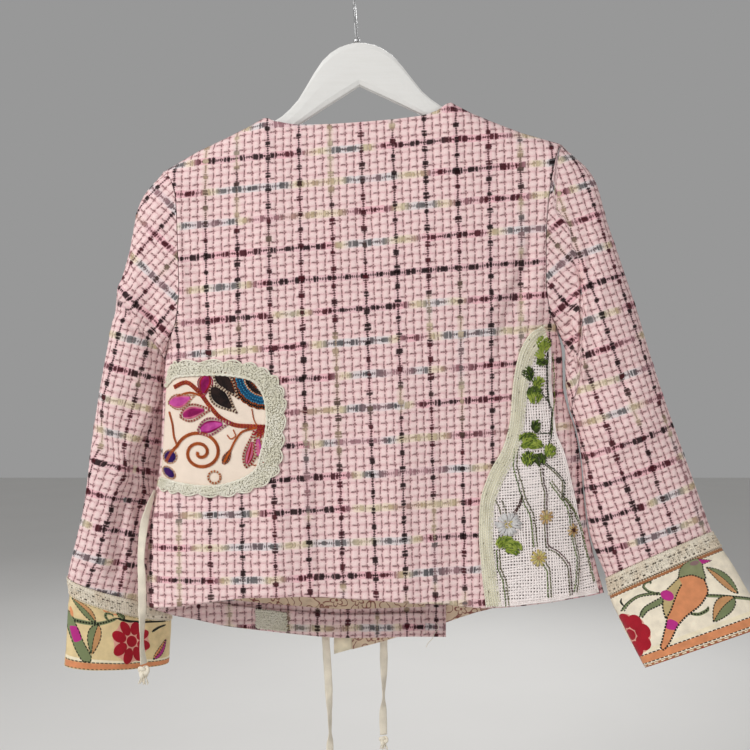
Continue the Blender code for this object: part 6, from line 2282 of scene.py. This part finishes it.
def bindingRibbon():
    rows = tablePoints(binding, 161)
    outer, inner = rows[:, :2], rows[:, 2:]
    low, high = -0.12, 1.05  # over the inner and the outer edge
    shares = np.linspace(low, high, 13)
    points = ruled(inner, outer, shares)
    reach = reachAlong(inner)
    rib = 0.25 * np.sin(reach[:, None] / 9.0 + shares[None, :] * 5)
    across = np.clip((shares - low) / (high - low), 0, 1)
    fold = 0.75 * np.exp(-(((across - 0.30) / 0.10) ** 2)) + 0.55 * np.exp(-(((across - 0.85) / 0.10) ** 2))
    out = 1.75 + fold[None, :] + rib * np.sin(across * math.pi)[None, :]
    weave = together(*np.broadcast_arrays(shares[None, :] * 15.0, reach[:, None]))
    made = patchShell("side_patch_ribbon", points, out, 1.2, weave, ribbonLace)
    bundle = Bundle()
    for row, share in enumerate((-0.08, 0.10, 0.27, 0.44, 0.62, 0.80, 0.99)):
        line = evenPoints(inner * (1 - share) + outer * share, 2.6 if row % 2 else 3.1)
        fat = 0.85 if row in (0, 2, 6) else 0.62
        innerFold, outerFold = (math.exp(-(((share - middle) / 0.12) ** 2)) for middle in (0.27, 0.9))
        level = 2.1 + 0.55 * innerFold + 0.3 * outerFold
        layBeads(bundle, line, 0.45 if row % 2 else -0.3, (1.45, fat, 0.55), 0, level)
    stitches = bundle.make("side_patch_ribbon_stitches", [crochetYarn])
    return standsFor(made, "side_patch_binding"), standsFor(stitches)


def tuft(bundle, random, centre, wide, tall, paints, count, towards):
    # satin stitches that fan out, as a small leaf
    for _ in range(count):
        spread = random.uniform(-1, 1, 2)
        if (spread ** 2).sum() > 1.0:
            continue
        place = np.array(centre) + spread * (wide, tall) * 0.86
        way = heading(math.radians(towards - spread[0] * 42 + random.uniform(-12, 12)))
        places, away = onBack(np.array([place - way, place, place + way]), 2.0 + random.uniform(0.0, 0.9))
        paint = paints[int(random.integers(len(paints)))]
        half = random.uniform(1.9, 3.0)
        bundle.beads([places[1]], [places[2] - places[0]], away[1], (half, 0.72, 0.55), paint)


def rayFlower(bundle, random, centre, radius, rays, ray, heart, heartSize):
    centre = np.array(centre)
    for step in range(rays):
        angle = step * 2 * math.pi / rays + random.uniform(-0.08, 0.08)
        way = heading(angle)
        reach = radius * random.uniform(0.86, 1.05)
        for bend in (-0.07, 0.07):
            line = np.array([centre + way * heartSize * 0.7, centre + heading(angle + bend) * reach])
            line = np.array([line[0], line.mean(axis=0), line[1]])
            layCord(bundle, line, np.array([2.3, 2.9, 2.2]), np.array([0.6, 1.05, 0.6]), 0.6, ray)
    for _ in range(14):
        spot = centre + random.uniform(-1, 1, 2) * heartSize * 0.75
        layBeads(bundle, np.array([spot, spot + (0.8, 0.4)]), 0.0, (0.8, 0.55, 0.5), heart, 2.8)


# Leaves: centre, half width, half height, threads, stitches, way they point
sideLeaves = [
    ((204.5, -401), 9, 9, [lime, lime, leaf], 170, 70), ((200, -412), 6, 5, [lime, lime], 70, 110),
    ((202, -419.5), 7, 4.5, [darkLeaf, leaf], 80, 20), ((187, -432), 6.5, 7.5, [darkLeaf, leaf, darkLeaf], 110, 120),
    ((198, -441.5), 7, 6.5, [lime, lime, leaf], 90, 60), ((193.5, -450.5), 9.5, 5, [darkLeaf, leaf], 110, 20),
    ((193.5, -457.5), 9.5, 6, [lime, leaf, lime], 130, 90),
    ((194.5, -488.5), 5.5, 7.5, [darkLeaf, leaf, darkLeaf], 90, 60),
    ((186, -499.5), 11.5, 5.5, [leaf, darkLeaf, lime], 150, 15),
    ((190.5, -506.5), 13.5, 6, [lime, leaf, lime], 180, 10),
    ((210, -514.5), 7.5, 7.5, [lime, lime, leaf], 130, 60), ((186, -522), 8.5, 8, [leaf, darkLeaf, lime], 150, 80),
    ((199, -523.5), 7, 7, [darkLeaf, leaf, darkLeaf], 110, 100),
    ((160.5, -609), 10.5, 7.5, [lime, lime, leaf], 170, 30),
    ((169.5, -615), 10, 8, [lime, lime, lime, leaf], 170, 150),
]
# Vines: threads, distance between the two lines, points
sideVines = [
    ((darkLeaf, black), 1.3, [(209, -411), (208.5, -440), (209, -459), (213, -475), (211, -497)]),
    ((leaf, vine), 0, [(215, -412), (217, -440), (217, -458), (213.5, -478), (212.5, -495)]),
    ((darkLeaf, black), 0, [(189.5, -437), (199, -449), (208, -461)]),
    ((darkLeaf, black), 0, [(197.5, -496), (206, -495.5), (212, -497), (209, -508.5)]),
    ((vine, leaf), 3.8, [(173, -512), (172, -528), (178, -552), (182, -566), (190.5, -585.5), (193, -614)]),
    ((wine, wine), 1.5, [(179, -561.5), (176, -571), (170.5, -578.5)]),
    ((wine, vine), 2.6, [
        (200.5, -534), (202, -548), (205, -560), (204.5, -585), (205.5, -612.5), (219, -623), (230, -639),
        (231.9, -666),
    ]),
    ((darkLeaf, vine), 2, [(203.5, -527), (219, -540), (225, -550), (224, -566)]),
    ((vine, leaf), 3, [
        (211.5, -548), (221.5, -562), (231, -576), (234, -592), (237, -613), (241, -631), (239, -654),
        (237.1, -663.5),
    ]),
    ((leaf, vine), 1.4, [(228, -566), (239, -582), (245.5, -597), (250, -618), (255.5, -641), (259, -655)]),
    ((vine, leaf), 3.2, [(153, -618), (154, -634), (160, -650), (162.6, -674)]),
    ((vine, leaf), 3.2, [(203.5, -633), (207, -642), (208, -667)]),
    ((vine, vine), 0, [(157.5, -566), (160, -572), (162, -578)]),
    ((vine, vine), 0, [(151, -565), (154, -572), (156, -579)]),
]
# Flowers: centre, radius, rays, their thread, thread and size of the heart
sideFlowers = [
    ((164, -590.5), 14, 17, white, yellow, 5),
    ((205, -584), 8, 9, tan, yellow, 2.8),
    ((196.6, -626.5), 9, 11, yellow, tan, 2.8),
    ((236.2, -600), 7, 8, tan, wine, 2.2),
]


def sideEmbroidery():
    bundle = Bundle()
    random = np.random.default_rng(21)
    for motif in sideLeaves:
        tuft(bundle, random, *motif)
    for colours, between, points in sideVines:
        line = smoothLine(points, 2.9)
        side = sideOf(line)
        for paint, shift in zip(colours, (between / 2, -between / 2) if between else (0.0,)):
            placed = line + side * shift + random.uniform(-0.3, 0.3, (len(line), 2))
            layBeads(bundle, placed, 0.22 if shift > 0 else -0.22, (1.55, 0.72, 0.55), paint, 2.1)
    for motif in sideFlowers:
        rayFlower(bundle, random, *motif)
    made = bundle.make("side_patch_embroidery", threadMaterials)
    return standsFor(made)


sideMade = [sideBacking(), netThreads(), *bindingRibbon(), sideEmbroidery()]
print("side patch:", [len(piece.data.polygons) for piece in sideMade])


# Hanger: the solids' own shapes, painted and plated
def paintMaterial():
    material, make, shader = newMaterial("whitePaint", 0.32)
    place = objectPlace(make)
    brush = make.noise(make.vector("MULTIPLY", place, (30.0, 300.0, 300.0)), 1.0, 3.0)
    dust = make.noise(place, 700.0, 2.0)
    colour = make.mix(brush, (0.70, 0.69, 0.66), (0.76, 0.75, 0.73))
    colour = make.mix(make.rise(dust, 0.62, 0.8, 0.0, 0.25), colour, (0.55, 0.53, 0.50))
    finishSurface(make, shader, colour, brush, 0.0002, 0.2)
    return material


def steelMaterial():
    material, make, shader = newMaterial("hookSteel", 0.25, metallic=1.0)
    place = objectPlace(make)
    streak = make.noise(make.vector("MULTIPLY", place, (900.0, 900.0, 60.0)), 1.0, 3.0)
    make.plug(shader.inputs["Base Color"], make.mix(streak, (0.60, 0.60, 0.60), (0.80, 0.80, 0.80)))
    make.plug(shader.inputs["Roughness"], make.rise(streak, 0.3, 0.7, 0.2, 0.34))
    return material


paint, steel = paintMaterial(), steelMaterial()
for node, material in (("hanger_body", paint), ("hanger_hook", steel), ("hanger_ferrule", steel)):
    for piece in bpy.data.objects:
        if piece.type == "MESH" and piece.name.startswith(node):
            for place in range(len(piece.material_slots)):
                piece.material_slots[place].material = material
print("hanger")


# What each piece of cloth was cut to, in metres, before it was hung
leftCuff, rightCuff = cuffBands["left"], cuffBands["right"]
leftLace, rightLace = laceBands["left"], laceBands["right"]
cuts = [
    # piece, width, length, share of that rectangle, how it is held, what it rests on, pieces on it
    ("back_cloth", 0.50, 0.56, 0.81, "hung", ["hanger_body"], []),
    ("front_left_cloth", 0.33, 0.59, 0.77, "hung", ["hanger_body"], []),
    ("front_right_cloth", 0.30, 0.62, 0.72, "hung", ["hanger_body"], []),
    ("sleeve_left_cloth", 0.24, 0.40, 0.92, "hung", ["back_cloth"], []),
    ("sleeve_right_cloth", 0.25, 0.42, 0.93, "hung", ["back_cloth"], []),
    ("lining_left_silk", 0.30, 0.29, 0.88, "hung", ["front_left_cloth"], []),
    ("lining_right_silk", 0.27, 0.34, 0.81, "hung", ["front_right_cloth"], []),
    ("facing_left_cloth", 0.30, 0.032, 0.84, "laid", ["lining_left_silk"], []),
    ("crochet_scrap_ground", 0.033, 0.024, 0.90, "laid", ["facing_left_cloth"], ["crochet_scrap_stitches"]),
    ("cuff_left_print", leftCuff.round * mm, leftCuff.high * mm, 1.0, "hung", ["sleeve_left_cloth"], []),
    ("cuff_right_print", rightCuff.round * mm, rightCuff.high * mm, 1.0, "hung", ["sleeve_right_cloth"], []),
    (
        "cuff_lace_left_net", leftLace.round * mm, leftLace.high * mm, 1.0, "laid", ["sleeve_left_cloth"],
        ["cuff_lace_left_stitches"],
    ),
    (
        "cuff_lace_right_net", rightLace.round * mm, rightLace.high * mm, 1.0, "laid", ["sleeve_right_cloth"],
        ["cuff_lace_right_stitches"],
    ),
    ("floral_patch_ground", 0.12, 0.116, 0.92, "laid", ["back_cloth"], ["floral_patch_embroidery"]),
    ("floral_patch_border_ground", 0.34, 0.020, 1.0, "laid", ["back_cloth"], ["floral_patch_border_stitches"]),
    ("side_patch_backing", 0.115, 0.275, 0.64, "laid", ["back_cloth"], ["side_patch_net", "side_patch_embroidery"]),
    ("side_patch_ribbon", 0.31, 0.017, 1.0, "laid", ["back_cloth"], ["side_patch_ribbon_stitches"]),
]


for name, width, length, share, held, restsOn, onIt in cuts:
    [bpy.data.objects[other] for other in onIt]
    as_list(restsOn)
print("cloth sizes stated:", len(cuts))


# Floor material, and the end
def floorMaterial():
    material, make, shader = newMaterial("paleFloor", 0.9)
    place = objectPlace(make)
    grain = make.noise(place, 3.0, 4.0)
    make.plug(shader.inputs["Base Color"], make.mix(grain, studio["floorColour"], (0.76, 0.75, 0.73)))
    return material


floor.data.materials.append(floorMaterial())
